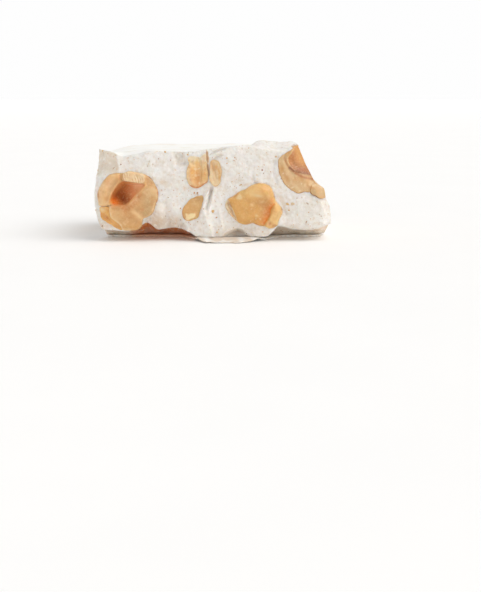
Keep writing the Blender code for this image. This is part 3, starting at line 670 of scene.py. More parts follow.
# ---- colours ---------------------------------------------------------------------------
NOUGAT = shade(239, 235, 230)
BED = shade(226, 200, 164)
SMEARS = [
    (163, 181.5, 1.2, 0.5, -10, 0.45), (185.3, 187.8, 0.5, 0.45, 0, 0.6), (246.5, 184, 0.9, 0.25, 15, 0.5),
    (155, 184, 0.5, 0.4, 0, 0.35), (164.5, 172, 0.4, 0.3, 0, 0.25), (221, 186, 0.3, 0.3, 0, 0.35), (151, 226, 1.6, 0.7, 20, 0.25),
]


# ---- kernels in the broken faces -------------------------------------------------------
def grain(x, z, seed, size=1.0):
    return layered(x, seed * 3.1, z, size, seed, 3, 0.55)


def hollow_kernel(x, z, r):
    """The broken kernel: rounded lobes about a deep hollow, with a block along its top."""
    hollow = inside(x, z, rounded(spots((122.8, 180.2), (133, 181.7), (144, 183.3), (146.9, 184.1), (139.2, 191.8), (133.5, 198), (128.8, 203.2), (125, 204.6), (118.4, 205.0), (113.0, 204.4), (110.6, 201.3), (112.2, 195.1), (116.4, 187.6))))
    ridge = left_of(x, z, *spot(128.8, 203.4), *spot(146.9, 184.0))
    low_edge = left_of(x, z, *spot(110.0, 205.2), *spot(128.8, 204.2))
    wall = 3.3 * ease(0.15, -1.45, hollow)
    slope = 0.05 + 0.85 * np.maximum(0.0, ridge)
    floor_ = 1.25 * np.maximum(0.0, low_edge)
    near = np.minimum(wall, np.minimum(slope, floor_))
    depth = 0.75 * near + 0.25 * (wall * slope * floor_ + 1e-6) ** (1.0 / 3.0)
    depth = depth * ease(0.18, -0.10, hollow)
    h = 0.62 + 0.25 * ease(1.0, 0.80, r) - depth
    h += 0.20 * np.exp(-((hollow - 0.30) / 0.35) ** 2)
    # left lobe is round across, with a crease where it ends
    h += mound(x, z, *spot(104.6, 190), 1.5, 3.6, 0.45, 20)
    h += mound(x, z, *spot(112.5, 178), 1.6, 1.1, 0.25, 30)
    h -= seam(x, z, spots((97, 207), (104, 206.6), (109.5, 204.6)), 0.30, 0.7)
    # block
    block = inside(x, z, rounded(spots((123.4, 173.8), (129.8, 170.2), (135.9, 170.6), (141.1, 171.6), (146.6, 173.6), (145.8, 183.2), (134.5, 181.6), (123.8, 180.4))))
    lines = np.sin((x + 0.16 * z) * 11.5 + 2.6 * grain(x, z, 5, 1.5)) * ease(-0.6, 0.5, grain(x, z, 6, 1.6))
    h = mix(h, 1.15 + 0.05 * lines * ease(0, -0.5, block) + 0.10 * (z - 14.5), ease(0.10, -0.12, block))
    h -= seam(x, z, spots((122.0, 172.0), (122.6, 180)), 0.32, 0.45)
    torn = inside(x, z, rounded(spots((146.4, 174.0), (152.4, 177.0), (158.5, 185.6), (151, 187.6), (146.5, 185.0))))
    h -= ease(0.15, -0.4, torn) * (0.30 + 0.16 * grain(x, z, 7, 0.9))
    # petal with its raised rim over the chip, right lobe
    rim = trail(x, z, spots((110.0, 204.5), (110.6, 211.2), (112.4, 216.9), (117.0, 220.6), (121.8, 224.4), (124, 229.4)))
    h += 0.22 * np.exp(-(rim / 0.36) ** 2)
    h += mound(x, z, *spot(131, 216), 3.2, 2.4, 0.35) + mound(x, z, *spot(150, 201), 1.6, 3.4, 0.35)
    h -= seam(x, z, spots((144.5, 219.5), (141, 214), (136, 209)), 0.55, 0.22)
    h -= seam(x, z, spots((125.0, 206), (128, 211), (130.5, 217)), 0.8, 0.12)
    h += 0.05 * grain(x, z, 3, 1.8) + 0.02 * grain(x, z, 4, 0.5)

    c = np.tile(shade(222, 176, 121), (len(x), 1))
    c = paint(c, shade(242, 198, 144), ease(-21.0, -23.0, x + 0.15 * (z - 12)))
    c = paint(c, shade(214, 160, 94), 0.8 * seam(x, z, spots((101, 184), (106, 178), (112, 174.4), (118, 173)), 0.55, 1.0))
    c = paint(c, shade(222, 168, 124), 0.6 * mound(x, z, *spot(111, 184), 1.2, 1.8, 1.0, 25))
    c = paint(c, shade(240, 196, 138), 0.85 * mound(x, z, *spot(104, 202), 1.4, 0.8, 1.0))
    c = paint(c, shade(232, 168, 96), 0.6 * mound(x, z, *spot(107.5, 198.5), 0.8, 1.1, 1.0, 20))
    c = paint(c, shade(206, 170, 122), 0.9 * mound(x, z, *spot(152, 201), 2.0, 3.2, 1.0) + 0.8 * mound(x, z, *spot(148, 212), 2.2, 1.4, 1.0))
    c = paint(c, shade(198, 122, 66), 0.85 * mound(x, z, *spot(136.5, 199), 0.8, 2.0, 1.0, -43))
    # painted shade just under the hollow's lower edge
    c = paint(c, shade(206, 128, 66), 0.75 * mound(x, z, *spot(122.5, 207), 2.4, 0.65, 1.0, 6))
    c = paint(c, shade(208, 132, 72), 0.6 * mound(x, z, *spot(126, 209.5), 0.7, 0.7, 1.0) + 0.6 * mound(x, z, *spot(130.2, 216.4), 0.65, 0.22, 1.0, 5) + 0.5 * mound(x, z, *spot(143, 208.4), 0.5, 0.35, 1.0) + 0.4 * mound(x, z, *spot(152.9, 197), 0.7, 0.5, 1.0))
    c = paint(c, shade(204, 150, 92), 0.60 * mound(x, z, *spot(129, 217), 3.4, 2.4, 1.0))
    c = paint(c, shade(230, 190, 136), 0.7 * mound(x, z, *spot(117.5, 213), 1.0, 1.5, 1.0))
    c = paint(c, shade(216, 168, 102), 0.75 * mound(x, z, *spot(131, 227), 3.0, 0.8, 1.0))
    # painted highlight along the petal's raised rim
    c = paint(c, shade(240, 212, 168), 0.75 * np.exp(-(rim / 0.20) ** 2))
    c = paint(c, shade(212, 166, 116), 0.9 * ease(0.15, -0.3, torn))
    c = paint(c, shade(164, 98, 62), 0.9 * mound(x, z, *spot(151.8, 177.6), 0.85, 0.5, 1.0, -28))
    c = paint(c, shade(228, 193, 148), ease(0.10, -0.10, block))
    c = paint(c, shade(252, 230, 194), ease(0.05, -0.15, block) * (0.45 + 0.45 * lines))
    c = paint(c, shade(214, 160, 104), 0.45 * ease(0.05, -0.15, block) * ease(0.0, -0.8, lines))
    c = paint(c, shade(244, 224, 190), 0.8 * mound(x, z, *spot(143.5, 175.5), 0.5, 0.6, 1.0))
    # painted shadow line under the block
    c = paint(c, shade(166, 92, 48), 0.9 * seam(x, z, spots((124.4, 181.0), (134, 182.4), (144.8, 184.2)), 0.26, 1.0))
    # painted shade and light in the hollow over its orange-brown flesh: darkest low in the middle, painted lighter up
    # the right slope, a bright painted orange glow low at the left
    painted_hollow_shade = np.tile(shade(208, 122, 58), (len(x), 1))
    painted_hollow_shade = paint(painted_hollow_shade, shade(246, 190, 146), 0.95 * mound(x, z, *spot(139, 186.0), 2.6, 1.7, 1.0, -40))
    painted_hollow_shade = paint(painted_hollow_shade, shade(236, 158, 112), 0.7 * mound(x, z, *spot(133, 192.5), 1.7, 1.2, 1.0, -45))
    painted_hollow_shade = paint(painted_hollow_shade, shade(216, 146, 88), 0.85 * mound(x, z, *spot(121, 184.5), 1.8, 1.5, 1.0, 30))
    painted_hollow_shade = paint(painted_hollow_shade, shade(134, 56, 18), 0.95 * mound(x, z, *spot(125.0, 199.0), 1.9, 1.5, 1.0, -40))
    painted_hollow_shade = paint(painted_hollow_shade, shade(252, 134, 36), 0.92 * mound(x, z, *spot(114.6, 201.6), 1.2, 0.8, 1.0, -30))
    painted_hollow_shade = paint(painted_hollow_shade, shade(250, 164, 76), 0.7 * mound(x, z, *spot(111.6, 201.4), 0.5, 1.0, 1.0))
    c = mix(c, painted_hollow_shade, ease(0.10 + 0.16 * ease(11.0, 8.6, z), -0.14 - 0.30 * ease(11.0, 8.6, z), hollow)[..., None])
    # painted highlight on the lit ridge and its end
    c = paint(c, shade(236, 186, 130), 0.75 * seam(x, z, spots((129.2, 203.4), (138, 193.2), (146.6, 184.4)), 0.15, 1.0) + 0.5 * seam(x, z, spots((146.8, 184.0), (143, 187.4)), 0.35, 1.0))
    # painted highlight just inside the outline
    c = paint(c, shade(246, 216, 172), 0.55 * np.exp(-((r - 0.945) / 0.028) ** 2) * ease(-0.5, 0.5, grain(x, z, 9, 2.6)))
    # painted shade spilling below the hollow's lower edge
    c = paint(c, shade(204, 136, 76), 0.55 * np.exp(-np.maximum(0.0, hollow) / 0.55) * ease(10.6, 9.0, z) * ease(-0.05, 0.12, hollow))
    c = paint(c, shade(240, 204, 154), 0.60 * seam(x, z, spots((134, 210), (140, 215), (143.5, 219)), 0.5, 1.0) + 0.5 * mound(x, z, *spot(153, 190), 0.9, 1.4, 1.0))
    c = paint(c, shade(206, 156, 104), 0.55 * seam(x, z, spots((119.5, 178.5), (114.5, 184), (110.5, 192), (109.2, 200)), 0.45, 1.0))
    cloud = grain(x, z, 8, 2.2)
    c = paint(c, shade(244, 212, 166), 0.45 * ease(0.05, 0.75, cloud) * ease(-0.1, 0.4, hollow))
    c = paint(c, shade(196, 142, 84), 0.35 * ease(-0.05, -0.75, cloud) * ease(-0.1, 0.4, hollow))
    # bits of skin on the outline
    for px, py, rx, rz, turn in ((98.4, 193, 0.30, 1.0, 8), (157.4, 186.2, 0.25, 0.35, 0), (159.2, 192.6, 0.28, 0.9, 0), (158.2, 200.6, 0.26, 0.5, 15), (150, 216.4, 0.9, 0.15, 30)):
        c = paint(c, shade(172, 98, 58), mound(x, z, *spot(px, py), rx, rz, 0.85, turn))
    tight = 0.85 * np.exp(-(rim / 0.9) ** 2)
    return mix(seat(h, r, 0.10), mix(-0.1, h, ease(1.0, 0.985, r)), tight), c


def chip_kernel(x, z, r):
    h = 0.40 + 0.10 * grain(x, z, 21, 0.9)
    h -= seam(x, z, spots((104.5, 212.5), (108, 216), (112, 221)), 0.30, 0.22)
    c = np.tile(shade(240, 182, 106), (len(x), 1))
    c = paint(c, shade(246, 214, 160), 0.95 * mound(x, z, *spot(103.2, 209.3), 0.6, 0.55, 1.0))
    c = paint(c, shade(228, 152, 72), 0.8 * mound(x, z, *spot(102.2, 214.6), 0.55, 0.6, 1.0))
    c = paint(c, shade(206, 132, 66), 0.8 * mound(x, z, *spot(107, 217), 0.8, 0.5, 1.0, -30))
    c = paint(c, shade(216, 156, 88), 0.7 * mound(x, z, *spot(118, 226), 1.0, 0.5, 1.0, -35))
    return seat(h, r, 0.05), c


def painted_glints(c, x, z, places):
    """Painted glints: small highlights, each longer than wide."""
    for i, (px, py, size) in enumerate(places):
        c = paint(c, shade(250, 234, 204), mound(x, z, *spot(px, py), size, size * 0.42, 0.8, 70.0 * i + 25.0))
    return c


def split_left_kernel(x, z, r):
    """Half of a split kernel, broken with a glassy, stepped surface."""
    near, far, number = cells(x, 0.0, z * 0.75, 1.5, 81)
    h = 0.34 + 0.24 * (number - 0.5) * ease(0.0, 0.5, far - near)
    h -= mound(x, z, *spot(198, 176), 0.8, 1.9, 0.50) + mound(x, z, *spot(193, 163), 1.0, 0.4, 0.25, -20)
    h += mound(x, z, *spot(191.5, 176), 0.7, 1.8, 0.20) + mound(x, z, *spot(204.5, 172), 0.6, 2.2, 0.25)
    h -= seam(x, z, spots((200.2, 160), (201.6, 170), (201, 180)), 0.28, 0.22)
    h += 0.06 * grain(x, z, 23, 0.7)
    c = np.tile(shade(238, 203, 152), (len(x), 1))
    c = paint(c, shade(242, 216, 172), 0.9 * mound(x, z, *spot(192, 160), 1.0, 1.2, 1.0))
    c = paint(c, shade(236, 190, 116), 0.7 * mound(x, z, *spot(197.5, 161.5), 0.8, 1.0, 1.0))
    c = paint(c, shade(232, 204, 168), 0.8 * mound(x, z, *spot(202.6, 160.5), 0.7, 1.4, 1.0) + 0.8 * mound(x, z, *spot(189.6, 178), 0.5, 1.3, 1.0))
    c = paint(c, shade(222, 152, 80), 0.90 * mound(x, z, *spot(197.8, 176.8), 0.95, 2.0, 1.0))
    c = paint(c, shade(236, 176, 92), 0.80 * mound(x, z, *spot(193.8, 172.5), 0.8, 1.3, 1.0))
    c = paint(c, shade(230, 180, 114), 0.8 * mound(x, z, *spot(205, 176), 0.7, 1.5, 1.0))
    c = paint(c, shade(242, 232, 214), 0.80 * ease(17.6, 19.6, z + 0.8 * grain(x, z, 87, 1.0)))
    c = paint(c, shade(196, 116, 62), 0.85 * seam(x, z, spots((190.6, 185.2), (196.2, 187.2), (200, 186.4), (204.4, 183.6), (207.6, 181.4)), 0.30, 1.0))
    c = paint(c, shade(206, 150, 96), 0.6 * mound(x, z, *spot(189.6, 166.5), 0.35, 0.5, 1.0))
    c = paint(c, shade(250, 226, 188), 0.55 * ease(0.25, 0.8, grain(x, z, 88, 1.1)) * ease(0.98, 0.9, r))
    c = paint(c, shade(206, 138, 72), 0.40 * ease(-0.2, -0.8, grain(x, z, 88, 1.1)))
    # painted highlights: small glints
    c = painted_glints(c, x, z, ((199.2, 168.4, 0.30), (199.8, 182.4, 0.24), (191, 184, 0.18), (201.5, 164.5, 0.2)))
    return seat(h, r, 0.10), c


def split_right_kernel(x, z, r):
    near, far, number = cells(x, 2.0, z * 0.7, 1.3, 83)
    h = 0.36 + 0.12 * (number - 0.5) * ease(0.0, 0.4, far - near)
    h -= seam(x, z, spots((213.4, 163), (215.0, 171), (216.2, 178)), 0.26, 0.26)
    h += 0.20 * ease(0.5, 0.9, r) + 0.04 * grain(x, z, 25, 0.6)
    c = np.tile(shade(237, 212, 175), (len(x), 1))
    c = paint(c, shade(216, 164, 104), 0.45 * ease(-0.1, 0.7, grain(x, z, 89, 1.4)))
    c = paint(c, shade(216, 162, 92), 0.85 * mound(x, z, *spot(216.4, 166.4), 0.42, 0.6, 1.0))
    c = paint(c, shade(220, 172, 104), 0.85 * seam(x, z, spots((218.6, 169), (219.9, 173.4), (219.4, 178)), 0.26, 1.0))
    c = paint(c, shade(204, 152, 96), 0.75 * seam(x, z, spots((211.8, 162), (212.6, 166), (213.8, 170)), 0.24, 1.0))
    c = paint(c, shade(236, 208, 168), 0.7 * mound(x, z, *spot(215, 177), 0.5, 1.1, 1.0))
    c = paint(c, shade(210, 164, 112), 0.6 * ease(0.86, 0.95, r))
    # painted highlights: small glints
    c = painted_glints(c, x, z, ((219.8, 174.4, 0.14), (213.2, 173.0, 0.18)))
    return seat(h, r, 0.08), c


def small_kernel(x, z, r):
    chip = inside(x, z, rounded(spots((185.2, 212.2), (188.6, 213.6), (191.6, 212.4), (196.0, 212.8), (195.0, 216.8), (190.6, 217.8), (188.0, 220.6), (185.2, 219.2), (186.4, 215.8)), 1))
    h = 0.30 + 0.06 * grain(x, z, 27, 0.9) - mound(x, z, *spot(193, 206), 1.2, 1.6, 0.30, 30)
    h = mix(h, 0.55 + 0.05 * grain(x, z, 28, 0.5), ease(0.08, -0.10, chip))
    c = np.tile(shade(220, 172, 112), (len(x), 1))
    c = paint(c, shade(240, 204, 148), 0.4 * ease(0.0, 0.7, grain(x, z, 29, 1.5)))
    c = paint(c, shade(190, 142, 90), 0.8 * mound(x, z, *spot(199, 198), 1.1, 0.6, 1.0))
    c = paint(c, shade(228, 190, 142), 0.6 * seam(x, z, spots((192, 200), (197, 198.4)), 0.2, 1.0) + 0.4 * mound(x, z, *spot(196, 204), 0.9, 0.5, 1.0))
    c = paint(c, shade(248, 226, 178), 0.95 * ease(0.22, -0.16, chip))
    c = paint(c, shade(186, 122, 70), 0.75 * ease(0.88, 0.96, r) * ease(-5.0, -6.4, x + 0.3 * (z - 6)))
    return seat(h, r, 0.06), c


def whole_kernel(x, z, r):
    """The kernel that stands out: waxy, with soft facets, one side lobe split off."""
    swell = np.sqrt(np.clip(1 - r ** 2.3, 0, 1))
    h = 0.10 + 2.3 * swell
    # soft facets: high along the top right shoulder, hollow in the middle
    h += mound(x, z, *spot(262, 189), 3.0, 1.4, 0.55) + mound(x, z, *spot(272.5, 199), 1.2, 2.2, 0.60, 15)
    h -= mound(x, z, *spot(261, 205), 2.7, 2.2, 0.95, -15) + mound(x, z, *spot(266.5, 212), 1.1, 1.8, 0.45, -20)
    h += mound(x, z, *spot(245, 196), 1.4, 1.0, 0.30, 35)
    h -= seam(x, z, spots((240.5, 190.5), (243.0, 196.5), (248, 200)), 0.55, 0.30)
    lobe = inside(x, z, rounded(spots((273.4, 203.0), (269.6, 208), (269.4, 213), (266.8, 218), (263.6, 222.0), (262, 229), (270, 233), (292, 222), (288, 204), (279, 197))))
    h -= 0.55 * np.exp(-np.maximum(0.0, lobe) / 1.1) * ease(-0.60, 0.20, lobe) * swell * ease(1.0, 0.85, r)
    h += 0.18 * ease(0.30, -0.60, lobe) * (0.5 + swell)
    h -= mound(x, z, *spot(276, 215), 0.9, 0.9, 0.20) + mound(x, z, *spot(269.6, 222), 0.5, 0.5, 0.35)
    rim = inside(x, z, rounded(spots((222, 193), (228.4, 198.6), (230.6, 203), (232.6, 207), (234.6, 211.4), (236.2, 216.4), (239.0, 223.5), (226, 228), (216, 203))))
    h -= 1.25 * ease(0.12, -0.30, rim) * swell
    h += 0.35 * np.exp(-((rim + 0.85) / 0.28) ** 2) * ease(1.0, 0.93, r)
    h += 0.22 * gradient_noise(x, 1.0, z, 3.4, 91) + 0.035 * grain(x, z, 92, 0.9)
    h += 0.05 * np.sin((z - 0.35 * x) * 6.0 + 2.0 * gradient_noise(x, 0, z, 3.0, 96)) * mound(x, z, *spot(256, 215), 2.4, 1.0, 1.0)
    c = np.tile(shade(221, 168, 92), (len(x), 1))
    # painted light: the raised top and the right shoulder painted lighter
    c = paint(c, shade(244, 206, 142), 0.9 * mound(x, z, *spot(254, 189), 2.2, 1.2, 1.0, 15) + 0.7 * mound(x, z, *spot(270, 192), 1.0, 1.6, 1.0))
    c = paint(c, shade(228, 174, 102), 0.7 * mound(x, z, *spot(262, 189), 1.6, 0.7, 1.0) + 0.6 * mound(x, z, *spot(241, 201), 1.4, 1.4, 1.0))
    # painted highlight on the top facet
    c = paint(c, shade(232, 206, 160), 0.8 * mound(x, z, *spot(257.5, 194.3), 1.3, 0.45, 1.0, -12))
    # painted light on the right shoulder
    c = paint(c, shade(236, 198, 134), 0.9 * mound(x, z, *spot(275, 203.5), 1.0, 1.3, 1.0, 40))
    # painted shade in the hollow of the middle
    c = paint(c, shade(200, 148, 92), 0.8 * mound(x, z, *spot(265.5, 209), 1.3, 1.9, 1.0, -15) + 0.6 * mound(x, z, *spot(260, 201), 1.3, 0.8, 1.0))
    c = paint(c, shade(234, 196, 136), 0.65 * ease(0.20, -0.7, lobe))
    c = paint(c, shade(238, 202, 138), 0.75 * mound(x, z, *spot(275, 213.5), 1.2, 1.6, 1.0))
    c = paint(c, shade(236, 176, 92), 0.5 * mound(x, z, *spot(273, 208.5), 0.9, 1.2, 1.0))
    gap = np.exp(-np.maximum(0.0, lobe) / 0.8) * ease(-0.30, 0.0, lobe) * ease(0.96, 0.80, r)
    c = paint(c, shade(238, 134, 26), 0.92 * gap * ease(-0.8, 0.3, grain(x, z, 98, 1.6)))
    c = paint(c, shade(234, 216, 188), 0.92 * ease(0.10, -0.12, rim))
    c = paint(c, shade(214, 168, 118), 0.55 * ease(0.10, -0.12, rim) * ease(0.0, 0.5, grain(x, z, 97, 0.8)))
    c = paint(c, shade(236, 210, 166), 0.8 * inside_soft(x, z, spots((235.2, 197.5), (238.8, 192.4), (240.4, 193), (242.4, 197.2), (239, 198.4)), 0.25))
    c = paint(c, shade(178, 106, 56), 0.85 * seam(x, z, spots((230.0, 201.6), (231.2, 205.2)), 0.16, 1.0) + 0.7 * seam(x, z, spots((234.6, 195.8), (237.2, 192.8)), 0.12, 1.0))
    c = paint(c, shade(196, 118, 62), 0.7 * mound(x, z, *spot(269.2, 221.8), 0.35, 0.5, 1.0) + 0.6 * mound(x, z, *spot(273.6, 224.2), 0.4, 0.25, 1.0, -20) + 0.6 * mound(x, z, *spot(256, 223), 0.5, 0.2, 1.0, -10))
    c = paint(c, shade(240, 204, 140), 0.45 * ease(0.1, 0.8, grain(x, z, 94, 2.0)))
    c = paint(c, shade(196, 142, 70), 0.35 * ease(-0.1, -0.8, grain(x, z, 94, 2.0)))
    c = paint(c, shade(232, 130, 22), 0.6 * gap)
    # painted highlights
    c = paint(c, shade(248, 226, 176), 0.5 * mound(x, z, *spot(251.6, 203.4), 0.42, 0.36, 1.0) + 0.4 * mound(x, z, *spot(262.0, 200.6), 0.5, 0.3, 1.0, 20) + 0.4 * mound(x, z, *spot(256.4, 214.2), 0.5, 0.25, 1.0, -25))
    # painted highlights: small glints
    c = painted_glints(c, x, z, ((251.3, 207.4, 0.16), (255.5, 217.2, 0.20), (259.8, 217.4, 0.18), (250.5, 219.5, 0.16)))
    for px, py, rx, rz, turn in ((282.0, 207.6, 0.28, 0.5, -25), (280.0, 220.6, 0.22, 0.42, 35), (274.4, 195.6, 0.12, 0.35, 0)):
        c = paint(c, shade(140, 72, 48), mound(x, z, *spot(px, py), rx, rz, 0.9, turn))
    return seat(h, r, 0.25), c


def plain_whole_kernel(seed):
    def make(x, z, r):
        h = 0.10 + 2.6 * np.sqrt(np.clip(1 - r ** 2.3, 0, 1)) + 0.25 * gradient_noise(x, seed, z, 3.4, seed) + 0.04 * grain(x, z, seed + 1, 0.9)
        crease = np.abs(gradient_noise(x * 0.6, seed * 1.7, z * 0.6, 3.0, seed + 3))
        h -= 0.30 * ease(0.14, 0.0, crease)
        c = np.tile(shade(216, 168, 106), (len(x), 1))
        c = paint(c, shade(232, 196, 142), 0.7 * ease(-0.2, 0.7, grain(x, z, seed + 4, 4.0)))
        c = paint(c, shade(204, 124, 56), 0.55 * ease(0.13, 0.0, crease))
        skin = ease(0.45, 0.75, gradient_noise(x, seed * 2.0, z, 2.6, seed + 6)) * ease(0.6, 0.95, r)
        c = paint(c, shade(166, 100, 58), 0.7 * skin)
        return seat(h, r, 0.25), c
    return make


def plain_broken_kernel(seed, at, turn):
    """A kernel broken through its middle: a slit between its halves, pale patches."""
    def make(x, z, r):
        near, far, number = cells(x, seed, z, 1.8, seed)
        a = math.radians(turn)
        dx, dz = x - at[0], z - at[1]
        p, q = dx * math.cos(a) + dz * math.sin(a), dz * math.cos(a) - dx * math.sin(a)
        slit = np.abs(q + 0.35 * np.sin(p * 0.9 + seed)) / (0.10 + 0.55 * np.clip(1 - (p / 2.6) ** 2, 0, 1))
        h = 0.40 + 0.20 * (number - 0.5) * ease(0.0, 0.5, far - near)
        h -= 0.8 * ease(1.1, 0.2, slit) * ease(0.8, 0.5, r)
        h += 0.05 * grain(x, z, seed + 2, 0.8)
        c = np.tile(shade(222, 182, 130), (len(x), 1))
        c = paint(c, shade(236, 206, 160), 0.6 * mound(x, z, at[0] - 1.2, at[1] + 1.4, 1.6, 1.0, 1.0, turn))
        c = paint(c, shade(216, 156, 90), 0.6 * ease(0.0, 0.7, grain(x, z, seed + 5, 2.2)))
        c = paint(c, shade(240, 208, 158), 0.45 * ease(0.1, 0.8, grain(x, z, seed + 7, 1.3)))
        c = paint(c, shade(190, 118, 64), 0.9 * ease(1.1, 0.3, slit) * ease(0.8, 0.5, r))
        return seat(h, r, 0.10), c
    return make


def face_kernel(name, at, line, face, sign, deep, looks, seg=150, rows=54, back_rows=12, node=None):
    """A kernel in a broken face, from its closed outline and its looks."""
    theta = 2 * math.pi * np.arange(seg) / seg
    r_line = ring_at(line, np.degrees(theta))
    shares = np.concatenate([np.linspace(0, 0.88, rows - 13)[1:], np.linspace(0.88, 1.0, 14)[1:]])
    pts, cols = [], []
    for share in shares:
        x, z = at[0] + share * r_line * np.cos(theta), at[1] + share * r_line * np.sin(theta)
        h, c = looks(x, z, np.full(seg, share))
        pts.append(np.stack([x, face(x, z, share) - sign * h, z], axis=1))
        cols.append(c)
    edge = pts[-1]
    for k in range(1, back_rows + 1):
        phi = 0.5 * math.pi * k / (back_rows + 1)
        share = math.cos(phi)
        x, z = at[0] + share * r_line * np.cos(theta), at[1] + share * r_line * np.sin(theta)
        y = mix(float(np.mean(edge[:, 1])), edge[:, 1], share) + sign * (deep - 1.0) * math.sin(phi)
        pts.append(np.stack([x, y, z], axis=1))
        cols.append(np.tile(shade(196, 130, 76), (seg, 1)))
    one = lambda t: np.array([t], float)
    h0, c0 = looks(one(at[0]), one(at[1]), one(0.0))
    f0 = float(face(one(at[0]), one(at[1]), 0.0)[0])
    first = [at[0], f0 - sign * float(h0[0]), at[1]]
    last = [at[0], float(np.mean(edge[:, 1])) + sign * (deep - 1.0), at[1]]
    if sign < 0:
        pts, cols = [p[::-1] for p in pts], [c[::-1] for c in cols]
    obj = rings_mesh(name, pts, first, last, cols, c0[0], shade(196, 130, 76))
    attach(obj, "root")
    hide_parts(node or name.replace("_kernel", ""))
    return obj


def cut_face_looks(p, q, seed, turn=0.0):
    """Colour and height of a kernel cut flat through: p and q run -1 to 1."""
    a = math.radians(turn + 40.0 * math.sin(1.7 * seed))
    p, q = p * math.cos(a) + q * math.sin(a), q * math.cos(a) - p * math.sin(a)
    r = np.hypot(p, q)
    n1 = layered(p * 6, seed, q * 6, 3.0, seed, 3, 0.6)
    n2 = layered(p * 6, seed + 9, q * 6, 1.4, seed + 1, 3, 0.6)
    long_, wide = 0.42 + 0.16 * math.sin(2.3 * seed), 0.055 + 0.045 * math.sin(3.1 * seed + 1.0)
    gap = np.abs(p + 0.08 * np.sin(q * 4 + seed) + 0.03 * n1) / (0.012 + wide * np.clip(1 - (q / long_) ** 2, 0, 1))
    gap_on = ease(long_ + 0.10, long_ - 0.06, np.abs(q))
    c = np.tile(shade(234, 202, 154), (len(p), 1))
    c = paint(c, shade(224, 178, 120), 0.70 * ease(0.80, 0.30, r + 0.20 * n1))
    c = paint(c, shade(244, 220, 180), 0.50 * ease(0.0, 0.8, n2))
    c = paint(c, shade(204, 150, 94), 0.35 * ease(-0.1, -0.8, n2))
    c = paint(c, shade(214, 158, 98), 0.55 * ease(4.0, 1.5, gap) * gap_on)
    c = paint(c, shade(176, 110, 64), 0.85 * ease(1.4, 0.6, gap) * gap_on)
    c = paint(c, shade(242, 216, 174), 0.50 * np.exp(-((r - 0.84) / 0.07) ** 2))
    c = paint(c, shade(196, 138, 86), 0.55 * ease(0.92, 0.99, r + 0.05 * n1))
    h = -0.40 * ease(1.2, 0.4, gap) * gap_on + 0.03 * n1 + 0.03 * n2
    return c, h


def cut_kernel(name, n, seed, side):
    """A kernel cut off flat by the left or the right face."""
    seg, rows = 100, 80
    cx, cy, cz = n["at"]
    a = math.radians(n["turn"])
    R, S = np.meshgrid(np.arange(1, rows), np.arange(seg), indexing="ij")
    t, q = math.pi * R / rows, 2 * math.pi * S / seg
    # the poles of the grid point along X, so that the cut face is evenly meshed
    hx, hy, hz = n["half"]
    uneven = 1.0 + 0.05 * np.sin(2 * q + seed) + 0.03 * np.sin(3 * q + 2.3 * seed)
    X, Y, Z = hx * np.cos(t), hy * np.sin(t) * np.cos(q) * uneven, hz * np.sin(t) * np.sin(q) * uneven
    taper = 1.0 - 0.10 * np.clip(Z / hz, -1, 1)
    X, Y = X * taper, Y * taper
    if n["about"] == "X":
        Y, Z = Y * math.cos(a) - Z * math.sin(a), Y * math.sin(a) + Z * math.cos(a)
    else:
        X, Z = X * math.cos(a) + Z * math.sin(a), Z * math.cos(a) - X * math.sin(a)
    x, y, z = cx + X, cy + Y, cz + Z
    x = np.append(x.ravel(), [cx + hx, cx - hx])
    y = np.append(y.ravel(), [cy, cy])
    z = np.append(z.ravel(), [cz, cz])
    wall = wall_at(side, y, z)
    over = side * (x - wall)
    centre = egg_level(np.full_like(x, float(np.mean(wall))), np.full_like(x, cy), np.full_like(x, cz), n)
    norm = np.sqrt(np.maximum(1e-6, 1 - min(0.85, float(centre[0]) ** 2)))
    c, h = cut_face_looks((y - cy) / hy / norm, (z - cz) / hz / norm, seed, -n["turn"])
    cut = over > 0.0
    colour = np.where(cut[:, None], c, np.tile(shade(206, 150, 92), (len(x), 1)))
    # just inside the outline the cut stands a hair proud, at the outline it meets the nougat
    x = np.where(cut, wall + side * (0.05 * ease(0.0, 0.5, over) + h), x)
    s = np.arange(seg)
    s1 = (s + 1) % seg
    faces = []
    for r in range(rows - 2):
        p0, p1 = r * seg, (r + 1) * seg
        faces.append(np.stack([p0 + s, p1 + s, p1 + s1], axis=1))
        faces.append(np.stack([p0 + s, p1 + s1, p0 + s1], axis=1))
    n0, n1 = (rows - 1) * seg, (rows - 1) * seg + 1
    faces.append(np.stack([np.full(seg, n0), s, s1], axis=1))
    p0 = (rows - 2) * seg
    faces.append(np.stack([p0 + s, np.full(seg, n1), p0 + s1], axis=1))
    obj = make_mesh(name + "_kernel", np.stack([x, y, z], axis=1), np.concatenate(faces), colour * np.array([0.955, 0.965, 0.955]))
    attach(obj, "root")
    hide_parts(name)
    return obj


